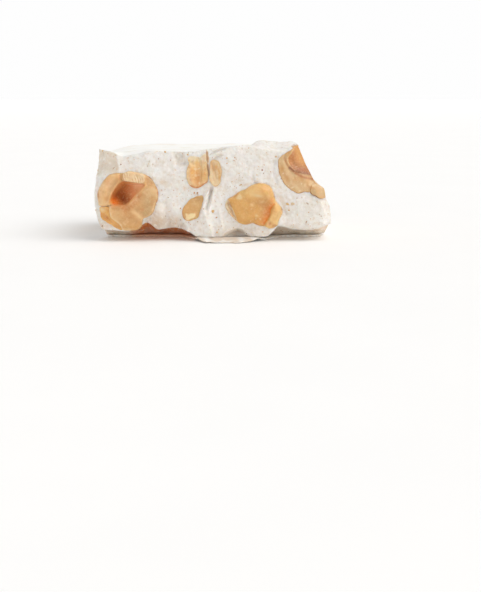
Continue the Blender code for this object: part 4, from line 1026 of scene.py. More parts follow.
def corner_kernel(name, n, outline, looks, seed):
    """A kernel at the front right corner: broken by the front, cut by the right face."""
    seg, rows = 220, 150
    cx, cy, cz = n["at"]
    R, S = np.meshgrid(np.arange(1, rows), np.arange(seg), indexing="ij")
    t, q = math.pi * R / rows, 2 * math.pi * S / seg
    hx, hy, hz = n["half"]
    # poles along Y; the outline is met where the front cuts through
    dip = corner_dip(n)
    radius = ring_at(outline, np.degrees(q)) / math.sqrt(1 - dip * dip)
    Y, X, Z = hy * np.cos(t), radius * np.sin(t) * np.cos(q), radius * np.sin(t) * np.sin(q)
    x = np.append((cx + X).ravel(), [cx, cx])
    y = np.append((cy + Y).ravel(), [cy + hy, cy - hy])
    z = np.append((cz + Z).ravel(), [cz, cz])
    wall = wall_at(1, y, z)
    side_cut = x > wall
    c_side, h_side = cut_face_looks((y - cy) / hy / 0.95, (z - cz) / hz / 0.95, seed, 20)
    colour = np.tile(shade(206, 150, 92), (len(x), 1))
    colour = np.where(side_cut[:, None], c_side, colour)
    away = ease(0.3, 1.6, y - (Y_FRONT + front_form(np.minimum(x, wall), z)))
    x = np.where(side_cut, wall + 0.05 * ease(0.0, 0.5, x - wall) + h_side * 0.8 * away, x)
    z = np.minimum(z, curve_at(TOP_LINE, x) - 0.05)
    face = front_face(x, z, 0.0)
    h, c_front = looks(x, z)
    front_cut = y < face - h + 0.02
    y = np.where(front_cut, face - h, y)
    edge_mix = np.where(front_cut, 1.0, ease(0.9, 0.1, y - (face - h)) * side_cut)
    colour = mix(colour, c_front, edge_mix[:, None])
    s = np.arange(seg)
    s1 = (s + 1) % seg
    faces = []
    for r in range(rows - 2):
        p0, p1 = r * seg, (r + 1) * seg
        faces.append(np.stack([p0 + s, p1 + s1, p1 + s], axis=1))
        faces.append(np.stack([p0 + s, p0 + s1, p1 + s1], axis=1))
    n0, n1 = (rows - 1) * seg, (rows - 1) * seg + 1
    faces.append(np.stack([np.full(seg, n0), s1, s], axis=1))
    p0 = (rows - 2) * seg
    faces.append(np.stack([p0 + s, p0 + s1, np.full(seg, n1)], axis=1))
    obj = make_mesh(name + "_kernel", np.stack([x, y, z], axis=1), np.concatenate(faces), colour * np.array([0.955, 0.965, 0.955]))
    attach(obj, "root")
    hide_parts(name)
    return obj


def corner_looks(x, z):
    edge = curve_at(RIGHT_LINE, z) - x
    inner = inside(x, z, spots((294.8, 143), (292.1, 150.7), (290.3, 153.9), (286.8, 158.3), (287.6, 161.5), (290, 166), (294, 170), (304, 172), (325, 182), (330, 140)))
    h = 0.22 + 0.05 * grain(x, z, 103, 0.8)
    h -= 0.8 * ease(0.15, -0.9, inner)
    h += 0.14 * np.exp(-((inner - 0.25) / 0.22) ** 2) * ease(0.2, 1.2, edge)
    near, far, number = cells(x, 4.0, z * 0.7, 1.3, 105)
    h += 0.12 * (number - 0.5) * ease(0.0, 0.4, far - near) * ease(0.0, 0.5, inner)
    h -= seam(x, z, spots((283.4, 154), (284.4, 161), (288, 169), (294, 178)), 0.30, 0.20)
    c = np.tile(shade(220, 182, 134), (len(x), 1))
    c = paint(c, shade(240, 212, 170), 0.50 * ease(0.0, 0.7, grain(x, z, 108, 1.9)))
    c = paint(c, shade(204, 152, 98), 0.40 * ease(-0.1, -0.8, grain(x, z, 108, 1.9)))
    c = paint(c, shade(236, 206, 162), 0.9 * seam(x, z, spots((283.6, 162), (287, 174), (293, 184), (299, 190)), 0.45, 1.0))
    c = paint(c, shade(214, 160, 98), 0.8 * mound(x, z, *spot(281.4, 168.6), 0.5, 0.9, 1.0) + 0.75 * mound(x, z, *spot(286.6, 178), 0.8, 0.7, 1.0, -30) + 0.6 * mound(x, z, *spot(301, 179), 0.6, 0.9, 1.0, 20) + 0.6 * mound(x, z, *spot(307, 184), 0.35, 0.8, 1.0))
    c = paint(c, shade(214, 160, 98), 0.8 * mound(x, z, *spot(286.8, 152.6), 0.9, 0.7, 1.0, 30))
    c = paint(c, shade(204, 148, 96), 0.75 * seam(x, z, spots((277.0, 168), (279.6, 177), (284, 184), (290, 190), (297, 193.4), (301, 193)), 0.22, 1.0))
    c = paint(c, shade(198, 132, 82), 0.7 * seam(x, z, spots((283.6, 158), (286, 164), (289, 168.4)), 0.22, 1.0))
    warm = np.tile(shade(200, 134, 78), (len(x), 1))
    warm = paint(warm, shade(222, 166, 98), 0.85 * ease(2.2, 0.2, edge))
    warm = paint(warm, shade(196, 128, 70), 0.7 * mound(x, z, *spot(290, 158.5), 0.8, 1.2, 1.0) + 0.5 * mound(x, z, *spot(294.6, 154.6), 0.5, 0.5, 1.0))
    warm = paint(warm, shade(170, 104, 70), 0.85 * mound(x, z, *spot(302, 169.5), 3.0, 1.0, 1.0, -12))
    c = mix(c, warm, ease(0.12, -0.14, inner)[..., None])
    c = paint(c, shade(140, 76, 50), 0.90 * seam(x, z, spots((289.4, 167.6), (292.6, 170.6), (297, 171.6), (303.7, 172.8), (310.5, 174.4)), 0.36, 1.0))
    c = paint(c, shade(182, 112, 70), 0.8 * seam(x, z, spots((294, 172.6), (299.3, 175.4), (305, 177.4), (312.5, 179.4)), 0.30, 1.0))
    h -= seam(x, z, spots((289.4, 167.6), (292.6, 170.6), (297, 171.6), (303.7, 172.8)), 0.30, 0.22)
    # painted highlights: small glints
    c = painted_glints(c, x, z, ((291.6, 187.0, 0.40), (300.6, 183.3, 0.20), (299.2, 190.2, 0.26), (282.6, 173.0, 0.24), (288.0, 185.4, 0.2), (296.0, 166.6, 0.18)))
    return h, c


def corner_chip_looks(x, z):
    h = 0.42 + 0.04 * grain(x, z, 107, 1.2) + 0.25 * mound(x, z, *spot(317, 190.5), 1.4, 1.1, 1.0)
    c = np.tile(shade(216, 180, 132), (len(x), 1))
    c = paint(c, shade(216, 164, 102), 0.7 * mound(x, z, *spot(318.5, 197.4), 1.4, 0.4, 1.0, -15) + 0.5 * mound(x, z, *spot(312, 187.5), 0.7, 0.4, 1.0, 10))
    c = paint(c, shade(232, 204, 162), 0.7 * seam(x, z, spots((309.6, 185.2), (315.8, 184.8), (321, 187.2)), 0.22, 1.0))
    return h, c


# ---- wafer sheets ------------------------------------------------------------------------
def sheet_mesh(name, x, y, low, high, colour, node):
    """A thin closed sheet from a grid of places and its two heights."""
    a, b = x.shape
    idx = np.arange(a * b).reshape(a, b)
    up = np.stack([x.ravel(), y.ravel(), high.ravel()], axis=1)
    dn = np.stack([x.ravel(), y.ravel(), low.ravel()], axis=1)
    q = np.stack([idx[:-1, :-1], idx[1:, :-1], idx[1:, 1:], idx[:-1, 1:]], axis=-1).reshape(-1, 4)
    m = a * b
    faces = [q, q[:, ::-1] + m]
    edge = np.concatenate([idx[:, 0], idx[-1, 1:], idx[-2::-1, -1], idx[0, -2:0:-1]])
    nxt = np.roll(edge, -1)
    faces.append(np.stack([nxt, edge, edge + m, nxt + m], axis=1))
    col = np.concatenate([colour.reshape(-1, 3)] * 2)
    obj = make_mesh(name, np.concatenate([up, dn]), np.concatenate(faces), col)
    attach(obj, "root")
    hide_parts(node)
    return obj


WAFER_WHITE = shade(250, 249, 245)


def build_wafer_top():
    nu, nv = 220, 84
    U, T = np.meshgrid(np.linspace(0.003, 0.997, nu + 1), graded(nv, 0.6), indexing="ij")
    x_guess = mix(-25.4, 20.5, U)
    ragged = 0.004 * gradient_noise(x_guess, 0, 0, 1.3, 111) + 0.002 * gradient_noise(x_guess, 0, 0, 0.5, 112)
    start = np.maximum(0.006 + ragged, torn_edge(x_guess) + ragged)
    start = np.maximum(start, 0.003)
    V = mix(start, 0.992 + 0.004 * gradient_noise(x_guess, 0, 0, 1.1, 115), T)
    x = x_guess
    for _ in range(2):
        left, right = sides_at(top_z(x, V), V)
        x = mix(left, right, U)
    z = top_z(x, V)
    face_z = z - 0.3
    y = mix(Y_FRONT + front_form(x, face_z) + ease(0.05, 0.0, V) * front_detail(x, face_z), Y_BACK - back_form(x, face_z), V)
    strip = ease(0.0, 0.01, V) * ease(0.40, 0.10, V)
    z = z + 0.02 * gradient_noise(x, y, 0, 1.6, 116) + strip * (0.17 * layered(x * 0.45, y * 1.3, 0, 1.6, 118, 3, 0.6) - 0.05)
    z = z - 0.06 * ease(0.99, 1.0, T) + 0.05 * layered(x * 0.6, y, 0, 3.2, 120, 3, 0.55) * ease(0.0, 0.05, T) * ease(1.0, 0.95, T)
    thick = mix(0.06, WAFER, ease(0.0, 0.035, V - start + 0.001 * T))
    colour = np.tile(WAFER_WHITE, (U.size, 1)).reshape(*U.shape, 3)
    colour = paint(colour, shade(228, 204, 176), 0.85 * ease(0.93, 0.985, T) * ease(-0.35, 0.25, gradient_noise(x, 0, 0, 5.0, 117)))
    colour = paint(colour, shade(238, 232, 220), 0.6 * ease(0.1, 0.9, layered(x, y, 0, 4.4, 131, 4, 0.6)))
    colour = paint(colour, shade(222, 217, 208), 0.7 * strip * ease(0.0, 0.8, layered(x * 0.5, y * 1.5, 0, 2.2, 119, 3, 0.6)))
    return sheet_mesh("wafer_upper", x, y, z - thick, z, colour, "wafer_top")


def flap_amount(x):
    return ease(FLAP_FROM - 3.0, FLAP_FROM + 3.4, x) * ease(FLAP_TO + 6.6, FLAP_TO - 5.8, x)


def build_wafer_bottom():
    nx, ny = 230, 70
    S, T = np.meshgrid(np.linspace(0, 1, nx + 1), np.concatenate([np.linspace(0, 0.34, 46), np.linspace(0.34, 1, 26)[1:]]), indexing="ij")
    x = mix(-24.55 + 0.15 * gradient_noise(T * 30, 0, 0, 1.5, 121), 24.95 + 0.12 * gradient_noise(T * 30, 4, 0, 1.5, 122), S)
    ragged = 0.45 * gradient_noise(x, 0.0, 0.0, 2.2, 123) + 0.34 * gradient_noise(x, 1.0, 0.0, 0.8, 124) + 0.22 * gradient_noise(x, 1.0, 0.0, 0.4, 125)
    lip = Y_FRONT + mix(EDGE_BACK, -FLAP_OUT, flap_amount(x)) + ragged
    y = mix(lip, Y_BACK - 1.05, T)
    out = np.clip((Y_FRONT + 1.5 - y) / (FLAP_OUT + 1.5), 0, 1)
    flap = flap_amount(x)
    curl = (0.02 + 0.50 * np.clip(np.abs(x - 3.8) / 8.0, 0, 1) ** 2) * out
    lean = 0.66 * np.exp(-((y - (Y_FRONT + 0.1)) / 1.5) ** 2) * flap
    thick = WAFER * (1.0 - 0.68 * out)
    wrinkle = gradient_noise(x, y * 0.6, 0, 1.4, 126)
    low = curl + lean + 0.08 * out * (1 + wrinkle)
    high = low + thick + 0.02 * gradient_noise(x, y, 0, 1.2, 127) + 0.04 * out * gradient_noise(x, y, 0, 0.7, 129)
    colour = np.tile(WAFER_WHITE, (x.size, 1)).reshape(*x.shape, 3)
    colour = paint(colour, shade(222, 202, 182), 0.85 * flap * ease(0.1, 0.5, out) * ease(-0.7, 0.3, gradient_noise(x, y, 0, 1.9, 130)))
    # painted orange glow of bounced light on the front of the lower wafer, in the gap at the left
    colour = paint(colour, shade(214, 150, 100), 0.75 * ease(0.16, 0.02, T) * ease(-2.0, -6.0, x) * ease(-22.0, -17.0, x))
    colour = paint(colour, shade(226, 200, 168), 0.5 * ease(0.02, 0.0, T) * ease(-0.4, 0.4, gradient_noise(x, 0, 0, 1.0, 128)))
    return sheet_mesh("wafer_lower", x, y, np.maximum(low, 0.0), high, colour, "wafer_bottom")


# ---- crumbs of kernel in the nougat ------------------------------------------------------
CRUMBS = [   # place in the reference frame, length and width in mm, turn, colour
    (115.3, 168, 0.62, 0.30, 35, "brown"), (122.4, 164.2, 0.34, 0.30, 0, "dark"), (153.7, 175.8, 0.40, 0.30, 0, "dark"),
    (162.6, 193.8, 0.55, 0.34, 0, "grey"), (169, 196.8, 0.5, 0.22, 0, "grey"), (165.3, 215.6, 0.34, 0.3, 0, "grey"),
    (166.2, 152, 0.50, 0.36, -30, "gold"), (188.6, 154.6, 0.75, 0.5, -35, "gold"), (194.4, 192, 0.38, 0.6, 0, "brown"),
    (197.8, 192.4, 0.42, 0.45, 0, "brown"), (180.6, 207.8, 0.4, 0.3, 40, "brown"), (212.8, 210.6, 0.85, 0.85, 0, "gold"),
    (216.6, 216.4, 0.55, 0.3, 40, "brown"), (261.6, 169.7, 0.48, 0.42, 20, "dark"), (263, 173, 0.42, 0.28, 30, "grey"),
    (256.5, 174.4, 0.34, 0.3, 0, "tan"), (270, 171.6, 0.30, 0.22, 0, "brown"), (275.8, 156.2, 0.55, 0.6, 30, "gold"),
    (287.2, 203.4, 0.8, 0.5, -30, "gold"), (292.3, 203.2, 1.0, 0.7, 0, "tan"), (288.6, 209.8, 0.6, 0.4, -20, "gold"),
    (280.2, 221, 0.7, 0.3, 55, "dark"), (283.5, 219.8, 1.0, 0.28, 52, "gold"), (307.3, 203.2, 0.32, 0.26, 0, "dark"),
    (306.3, 221, 0.6, 0.22, 25, "brown"), (308, 211.5, 0.34, 0.28, 0, "gold"), (226.6, 158, 0.3, 0.36, 0, "gold"),
    (234.8, 157.6, 0.34, 0.26, 0, "brown"), (234, 160.4, 0.3, 0.22, 0, "brown"), (227, 163.2, 0.36, 0.24, 30, "gold"),
    (241.2, 184.3, 1.05, 0.32, 22, "gold"), (239, 173, 0.34, 0.34, 0, "tan"), (232, 181.3, 0.3, 0.36, 0, "tan"),
    (217, 231, 0.5, 0.4, 0, "gold"), (229.5, 220.5, 0.34, 0.34, 0, "brown"), (243, 226.5, 0.36, 0.45, 0, "gold"),
    (262.4, 230.6, 0.4, 0.34, 0, "gold"), (246.5, 233.3, 0.26, 0.22, 0, "dark"), (102.3, 225.2, 0.75, 0.22, 68, "dark"),
    (144.7, 224.2, 0.8, 0.55, -10, "amber"), (189.2, 221.8, 0.4, 0.34, 0, "brown"), (181, 219.5, 0.4, 0.25, -30, "dark"),
    (104, 151.5, 0.34, 0.5, 0, "gold"), (283, 187.2, 0.28, 0.44, -60, "brown"), (274.4, 183.4, 0.28, 0.2, 0, "brown"),
]
CRUMB_COLOURS = dict(brown=shade(190, 132, 86), dark=shade(146, 96, 70), grey=shade(192, 176, 158), gold=shade(226, 180, 118), tan=shade(224, 198, 162), amber=shade(220, 138, 62))


def crumb_shape(rng, seg=9, rows=6):
    """A small bruised pebble, about 1 across."""
    pts = [(0, 0, 0.5)]
    for r in range(1, rows):
        t = math.pi * r / rows
        for s in range(seg):
            q = 2 * math.pi * (s + 0.5 * (r % 2)) / seg
            k = 0.5 * (1.0 + 0.16 * rng.standard_normal())
            pts.append((k * math.sin(t) * math.cos(q), k * math.sin(t) * math.sin(q), k * math.cos(t)))
    pts.append((0, 0, -0.5))
    faces = []
    idx = lambda r, s: 1 + (r - 1) * seg + s % seg
    for s in range(seg):
        faces.append((0, idx(1, s), idx(1, s + 1)))
        for r in range(1, rows - 1):
            faces.append((idx(r, s), idx(r + 1, s), idx(r + 1, s + 1)))
            faces.append((idx(r, s), idx(r + 1, s + 1), idx(r, s + 1)))
        faces.append((idx(rows - 1, s), len(pts) - 1, idx(rows - 1, s + 1)))
    return np.array(pts), np.array(faces)


def clear_of_nuts(x, z):
    ok = np.ones(np.shape(x), bool)
    for n in FRONT_NUTS.values():
        ok &= reach(x, z, n["at"], n["line"]) > 1.08
    for n in (CUT_NUTS["nut_corner"], CUT_NUTS["nut_corner_chip"]):
        ok &= egg_level(x, np.full(np.shape(x), Y_FRONT + 0.4), z, n) > 1.05
    return ok


def build_crumbs():
    rng = np.random.default_rng(20)
    points, faces, colours = [], [], []
    count = 0

    def add(centre, axes, size, colour):
        nonlocal count
        shape, tri = crumb_shape(rng)
        p = (shape * size) @ axes + centre
        points.append(p)
        faces.append(tri + count)
        colours.append(np.tile(colour * (1 + 0.08 * rng.standard_normal()), (len(p), 1)))
        count += len(p)

    def front_axes(turn):
        a = math.radians(turn)
        return np.array([[math.cos(a), 0, math.sin(a)], [0, 1, 0], [-math.sin(a), 0, math.cos(a)]])

    for px, py, length, width, turn, kind in CRUMBS:
        x, z = spot(px, py)
        X, Z = np.array([x]), np.array([z])
        y = Y_FRONT + front_form(X, Z)[0] + front_detail(X, Z)[0]
        add(np.array([x, y + 0.10 * width, z]), front_axes(turn), np.array([length, 0.7 * min(length, width), width]), CRUMB_COLOURS[kind])
    kinds = ["tan", "gold", "brown", "grey", "tan", "gold", "tan"]
    wanted = 70
    while wanted:
        x, z = rng.uniform(-24, 24), rng.uniform(2.5, 19.5)
        if not clear_of_nuts(np.array([x]), np.array([z]))[0] or x > float(curve_at(RIGHT_LINE, np.array([z]))[0]) - 0.8:
            continue
        X, Z = np.array([x]), np.array([z])
        y = Y_FRONT + front_form(X, Z)[0] + front_detail(X, Z)[0]
        s = rng.uniform(0.14, 0.30)
        add(np.array([x, y + 0.06, z]), front_axes(rng.uniform(0, 180)), np.array([s * rng.uniform(1, 1.6), 0.6 * s, s]), CRUMB_COLOURS[kinds[rng.integers(len(kinds))]])
        wanted -= 1
    wanted = 110
    while wanted:
        x, z = rng.uniform(-24, 24), rng.uniform(2.0, 19.0)
        X, Z = np.array([x]), np.array([z])
        left, right = sides(Z / 21.0, np.array([1.0]))
        if not left[0] + 0.9 < x < right[0] - 0.9 or any(reach(X, Z, n["at"], n["line"])[0] < 1.08 for n in BACK_NUTS.values()):
            continue
        y = Y_BACK - back_form(X, Z)[0] - back_detail(X, Z)[0]
        s = rng.uniform(0.16, 0.42)
        add(np.array([x, y - 0.06, z]), front_axes(rng.uniform(0, 180)), np.array([s * rng.uniform(1, 1.8), 0.6 * s, s]), CRUMB_COLOURS[kinds[rng.integers(len(kinds))]])
        wanted -= 1
    for side in (-1, 1):
        wanted = 60
        while wanted:
            y, z = rng.uniform(-13.5 if side < 0 else -7.0, 16.5), rng.uniform(2.0, 18.5)
            v = (y - Y_FRONT) / (Y_BACK - Y_FRONT)
            left, right = sides(np.array([z / 21.0]), np.array([v]))
            x = float((left if side < 0 else right)[0])
            if any(egg_level(x, y, z, n) < 1.08 for n in CUT_NUTS.values()):
                continue
            s = rng.uniform(0.16, 0.45)
            if side > 0 and z > 15.0:
                s = 0.5 * s
            a = rng.uniform(0, math.pi)
            axes = np.array([[0, math.cos(a), math.sin(a)], [1, 0, 0], [0, -math.sin(a), math.cos(a)]])
            add(np.array([x - side * 0.06, y, z]), axes, np.array([s * rng.uniform(1, 2.2), 0.4 * s, s]), CRUMB_COLOURS[kinds[rng.integers(len(kinds))]])
            wanted -= 1
    obj = make_mesh("kernel_crumbs", np.concatenate(points), np.concatenate(faces), np.concatenate(colours))
    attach(obj, "root")
    return obj


# ---- materials ------------------------------------------------------------------------------
def new_material(name, rough, spec):
    mat = bpy.data.materials.new(name)
    mat.use_nodes = True
    nodes, links = mat.node_tree.nodes, mat.node_tree.links
    shader = nodes["Principled BSDF"]
    shader.inputs["Roughness"].default_value = rough
    shader.inputs["Specular IOR Level"].default_value = spec
    tint = nodes.new("ShaderNodeAttribute")
    tint.attribute_name = "tint"
    place = nodes.new("ShaderNodeTexCoord")
    return mat, nodes, links, shader, tint, place


def noise_node(nodes, links, place, scale, detail=3.0, rough=0.55):
    n = nodes.new("ShaderNodeTexNoise")
    n.inputs["Scale"].default_value = scale
    n.inputs["Detail"].default_value = detail
    n.inputs["Roughness"].default_value = rough
    links.new(place.outputs["Object"], n.inputs["Vector"])
    return n


def ramp_node(nodes, links, source, low, high, a=0.0, b=1.0):
    m = nodes.new("ShaderNodeMapRange")
    m.inputs["From Min"].default_value = low
    m.inputs["From Max"].default_value = high
    m.inputs["To Min"].default_value = a
    m.inputs["To Max"].default_value = b
    links.new(source, m.inputs["Value"])
    return m


def mix_colour(nodes, links, factor, a, b, how="MIX"):
    m = nodes.new("ShaderNodeMix")
    m.data_type = "RGBA"
    m.blend_type = how
    for socket, value in ((m.inputs["Factor"], factor), (m.inputs[6], a), (m.inputs[7], b)):
        if hasattr(value, "links") or hasattr(value, "is_output"):
            links.new(value, socket)
        elif isinstance(value, (int, float)):
            socket.default_value = value
        else:
            socket.default_value = (*value, 1.0)
    return m


def bump_chain(nodes, links, shader, parts):
    """parts: (height socket, distance in metres, strength)."""
    last = None
    for socket, distance, strength in parts:
        b = nodes.new("ShaderNodeBump")
        b.inputs["Distance"].default_value = distance
        b.inputs["Strength"].default_value = strength
        links.new(socket, b.inputs["Height"])
        if last:
            links.new(last.outputs["Normal"], b.inputs["Normal"])
        last = b
    links.new(last.outputs["Normal"], shader.inputs["Normal"])


def nougat_material():
    mat, nodes, links, shader, tint, place = new_material("nougat_white", 0.62, 0.28)
    shader.inputs["Subsurface Weight"].default_value = 0.30
    shader.inputs["Subsurface Radius"].default_value = (1.0, 0.72, 0.48)
    shader.inputs["Subsurface Scale"].default_value = 0.0016
    wide = noise_node(nodes, links, place, 320.0, 3.0)
    fine = noise_node(nodes, links, place, 2600.0, 3.0, 0.6)
    # mottling
    m1 = mix_colour(nodes, links, ramp_node(nodes, links, wide.outputs["Fac"], 0.35, 0.72, 0.0, 0.22).outputs["Result"], tint.outputs["Color"], tuple(shade(226, 216, 200)))
    speckle = noise_node(nodes, links, place, 1300.0, 3.0, 0.6)
    m1 = mix_colour(nodes, links, ramp_node(nodes, links, speckle.outputs["Fac"], 0.52, 0.74, 0.0, 0.55).outputs["Result"], m1.outputs[2], tuple(shade(218, 198, 174)))
    m1 = mix_colour(nodes, links, ramp_node(nodes, links, speckle.outputs["Fac"], 0.46, 0.28, 0.0, 0.60).outputs["Result"], m1.outputs[2], tuple(shade(250, 248, 243)))
    # dust of ground kernel: very small tan specks
    dust = nodes.new("ShaderNodeTexVoronoi")
    dust.inputs["Scale"].default_value = 1500.0
    dust.inputs["Randomness"].default_value = 1.0
    links.new(place.outputs["Object"], dust.inputs["Vector"])
    dust_split = nodes.new("ShaderNodeSeparateColor")
    links.new(dust.outputs["Color"], dust_split.inputs["Color"])
    dust_dot = ramp_node(nodes, links, dust.outputs["Distance"], 0.30, 0.14)
    dust_pick = ramp_node(nodes, links, dust_split.outputs["Red"], 0.78, 0.95, 0.0, 0.8)
    dust_amount = nodes.new("ShaderNodeMath")
    dust_amount.operation = "MULTIPLY"
    links.new(dust_dot.outputs["Result"], dust_amount.inputs[0])
    links.new(dust_pick.outputs["Result"], dust_amount.inputs[1])
    dust_tint = mix_colour(nodes, links, dust_split.outputs["Green"], tuple(shade(224, 190, 150)), tuple(shade(184, 138, 102)))
    m1 = mix_colour(nodes, links, dust_amount.outputs["Value"], m1.outputs[2], dust_tint.outputs[2])
    # pores and flecks: small dots in some of the cells
    vor = nodes.new("ShaderNodeTexVoronoi")
    vor.inputs["Scale"].default_value = 900.0
    vor.inputs["Randomness"].default_value = 1.0
    links.new(place.outputs["Object"], vor.inputs["Vector"])
    split = nodes.new("ShaderNodeSeparateColor")
    links.new(vor.outputs["Color"], split.inputs["Color"])
    dot = ramp_node(nodes, links, vor.outputs["Distance"], 0.20, 0.09)
    pick = ramp_node(nodes, links, split.outputs["Red"], 0.80, 0.84)
    both = nodes.new("ShaderNodeMath")
    both.operation = "MULTIPLY"
    links.new(dot.outputs["Result"], both.inputs[0])
    links.new(pick.outputs["Result"], both.inputs[1])
    fleck = mix_colour(nodes, links, split.outputs["Green"], tuple(shade(216, 184, 148)), tuple(shade(188, 146, 112)))
    soft = nodes.new("ShaderNodeMath")
    soft.operation = "MULTIPLY"
    soft.inputs[1].default_value = 0.55
    links.new(both.outputs["Value"], soft.inputs[0])
    m2 = mix_colour(nodes, links, soft.outputs["Value"], m1.outputs[2], fleck.outputs[2])
    links.new(m2.outputs[2], shader.inputs["Base Color"])
    middle = noise_node(nodes, links, place, 950.0, 4.0, 0.62)
    bump_chain(nodes, links, shader, [(wide.outputs["Fac"], 0.00035, 0.45), (middle.outputs["Fac"], 0.00034, 0.65), (fine.outputs["Fac"], 0.00012, 0.7), (both.outputs["Value"], -0.00014, 0.6)])
    return mat


def kernel_material(name, rough, spec, coat):
    mat, nodes, links, shader, tint, place = new_material(name, rough, spec)
    shader.inputs["Subsurface Weight"].default_value = 0.30
    shader.inputs["Subsurface Radius"].default_value = (1.0, 0.50, 0.22)
    shader.inputs["Subsurface Scale"].default_value = 0.0012
    shader.inputs["Coat Weight"].default_value = coat
    shader.inputs["Coat Roughness"].default_value = 0.28
    wide = noise_node(nodes, links, place, 520.0, 4.0, 0.6)
    fine = noise_node(nodes, links, place, 2400.0, 3.0, 0.6)
    m1 = mix_colour(nodes, links, ramp_node(nodes, links, wide.outputs["Fac"], 0.40, 0.75, 0.0, 0.35).outputs["Result"], tint.outputs["Color"], tuple(shade(208, 142, 78)))
    m2 = mix_colour(nodes, links, ramp_node(nodes, links, fine.outputs["Fac"], 0.50, 0.80, 0.0, 0.30).outputs["Result"], m1.outputs[2], tuple(shade(246, 222, 176)))
    links.new(m2.outputs[2], shader.inputs["Base Color"])
    r = ramp_node(nodes, links, wide.outputs["Fac"], 0.3, 0.7, rough - 0.08, rough + 0.10)
    links.new(r.outputs["Result"], shader.inputs["Roughness"])
    bump_chain(nodes, links, shader, [(wide.outputs["Fac"], 0.00022, 0.6), (fine.outputs["Fac"], 0.00005, 0.5)])
    return mat


def wafer_material():
    mat, nodes, links, shader, tint, place = new_material("wafer_white", 0.80, 0.08)
    shader.inputs["Subsurface Weight"].default_value = 0.25
    shader.inputs["Subsurface Radius"].default_value = (1.0, 0.85, 0.70)
    shader.inputs["Subsurface Scale"].default_value = 0.0008
    wide = noise_node(nodes, links, place, 260.0, 3.0)
    fine = noise_node(nodes, links, place, 1900.0, 2.0)
    m1 = mix_colour(nodes, links, ramp_node(nodes, links, wide.outputs["Fac"], 0.4, 0.7, 0.0, 0.25).outputs["Result"], tint.outputs["Color"], tuple(shade(240, 236, 226)))
    links.new(m1.outputs[2], shader.inputs["Base Color"])
    bump_chain(nodes, links, shader, [(wide.outputs["Fac"], 0.00030, 0.35), (fine.outputs["Fac"], 0.00004, 0.5)])
    return mat


def floor_material():
    mat = bpy.data.materials.new("floor_pale")
    mat.use_nodes = True
    nodes, links = mat.node_tree.nodes, mat.node_tree.links
    shader = nodes["Principled BSDF"]
    shader.inputs["Roughness"].default_value = 0.75
    shader.inputs["Specular IOR Level"].default_value = 0.05
    place = nodes.new("ShaderNodeTexCoord")
    n = noise_node(nodes, links, place, 40.0, 2.0)
    m = mix_colour(nodes, links, ramp_node(nodes, links, n.outputs["Fac"], 0.3, 0.7, 0.0, 1.0).outputs["Result"], (0.965, 0.965, 0.965), (0.975, 0.975, 0.975))
    links.new(m.outputs[2], shader.inputs["Base Color"])
    return mat


def backdrop_material():
    mat = bpy.data.materials.new("backdrop_white")
    mat.use_nodes = True
    shader = mat.node_tree.nodes["Principled BSDF"]
    shader.inputs["Base Color"].default_value = (0.0, 0.0, 0.0, 1.0)
    shader.inputs["Specular IOR Level"].default_value = 0.0
    shader.inputs["Emission Color"].default_value = (1.0, 1.0, 1.0, 1.0)
    shader.inputs["Emission Strength"].default_value = 0.99
    return mat


# ---- put together ----------------------------------------------------------------------------
nougat_mat = nougat_material()
broken_mat = kernel_material("kernel_broken", 0.40, 0.45, 0.12)
whole_mat = kernel_material("kernel_whole", 0.32, 0.50, 0.35)
wafer_mat = wafer_material()

body = build_nougat()
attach(body, "root")
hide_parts("nougat")
body.data.materials.append(nougat_mat)

for sheet in (build_wafer_top(), build_wafer_bottom()):
    sheet.data.materials.append(wafer_mat)


LOOKS = dict(nut_hollow=hollow_kernel, nut_hollow_chip=chip_kernel, nut_split_left=split_left_kernel,
             nut_split_right=split_right_kernel, nut_small=small_kernel, nut_whole=whole_kernel)
kernels = []
for name, n in FRONT_NUTS.items():
    big = name in ("nut_hollow", "nut_whole")
    k = face_kernel(name + "_kernel", n["at"], n["line"], front_face, 1, n["deep"], LOOKS[name], seg=280 if big else 140, rows=100 if big else 56)
    k.data.materials.append(whole_mat if name == "nut_whole" else broken_mat)
for i, (name, n) in enumerate(BACK_NUTS.items()):
    looks = plain_whole_kernel(131 + 7 * i) if n["dome"] > 1 else plain_broken_kernel(151 + 7 * i, n["at"], n["turn"])
    k = face_kernel(name + "_kernel", n["at"], n["line"], back_face, -1, n["deep"], looks, seg=120, rows=48)
    k.data.materials.append(whole_mat if n["dome"] > 1 else broken_mat)
for i, (name, n) in enumerate(CUT_NUTS.items()):
    if name in CORNER_OUTLINES:
        looks = corner_looks if name == "nut_corner" else corner_chip_looks
        k = corner_kernel(name, n, CORNER_OUTLINES[name], looks, 171)
    else:
        k = cut_kernel(name, n, 173 + 5 * i, -1 if "left" in name else 1)
    k.data.materials.append(broken_mat)
build_crumbs().data.materials.append(broken_mat)

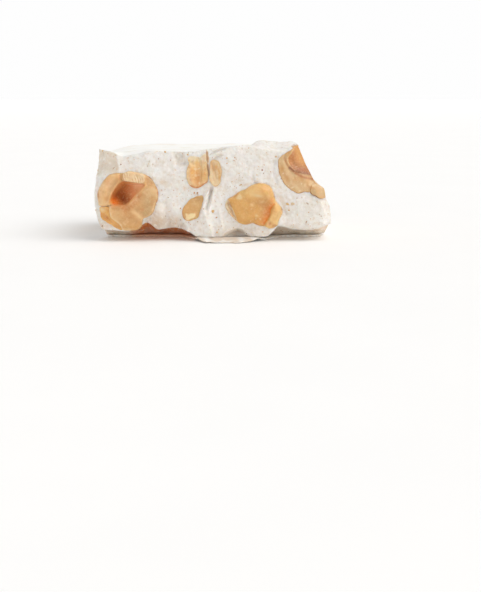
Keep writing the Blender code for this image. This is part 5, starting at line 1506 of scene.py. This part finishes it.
# ---- floor, lights and camera ---------------------------------------------------------------
floor_mesh = bpy.data.meshes.new("floor")
floor_mesh.from_pydata([(-3, -3, 0), (3, -3, 0), (3, 3, 0), (-3, 3, 0)], [], [(0, 1, 2, 3)])
floor = bpy.data.objects.new("floor", floor_mesh)
bpy.context.scene.collection.objects.link(floor)
floor.data.materials.append(floor_material())

backdrop_mesh = bpy.data.meshes.new("backdrop")
ring = [(-2.3, -2.3), (2.3, -2.3), (2.3, 2.3), (-2.3, 2.3)]
backdrop_mesh.from_pydata([(px, py, pz) for pz in (-0.04, 1.03) for px, py in ring], [],
                          [(k, (k + 1) % 4, (k + 1) % 4 + 4, k + 4) for k in range(4)])
backdrop = bpy.data.objects.new("backdrop", backdrop_mesh)
bpy.context.scene.collection.objects.link(backdrop)
backdrop.data.materials.append(backdrop_material())

world = bpy.data.worlds.new("studio")
world.use_nodes = True
background = world.node_tree.nodes["Background"]
background.inputs["Color"].default_value = (1.0, 0.993, 0.983, 1.0)
background.inputs["Strength"].default_value = 0.57
bpy.context.scene.world = world

sun = bpy.data.lights.new("key", "SUN")
sun.energy = 1.60
sun.color = (1.0, 0.985, 0.96)
sun.angle = math.radians(50.0)
key = bpy.data.objects.new("key", sun)
key.rotation_euler = Vector((0.58, -0.20, 0.80)).to_track_quat("Z", "Y").to_euler()
bpy.context.scene.collection.objects.link(key)

scene = bpy.context.scene
scene.view_settings.view_transform = "Standard"
scene.view_settings.look = "None"
scene.view_settings.exposure = 0.0

cam = bpy.data.cameras.new("camera")
cam.sensor_fit = "AUTO"
cam.sensor_width = 36.0
cam.lens = 67.5
cam.clip_start = 0.01
camera = bpy.data.objects.new("camera", cam)
scene.collection.objects.link(camera)
# about 250 mm before the mean front plane and 34.8 mm above the floor, looking down a little
camera.location = ((6.3 + X_MIDDLE) * MM, (Y_FRONT + Y_MIDDLE - 248.5) * MM, 34.8 * MM)
camera.rotation_euler = (math.radians(90.0 - 10.79), 0.0, 0.0)
scene.camera = camera
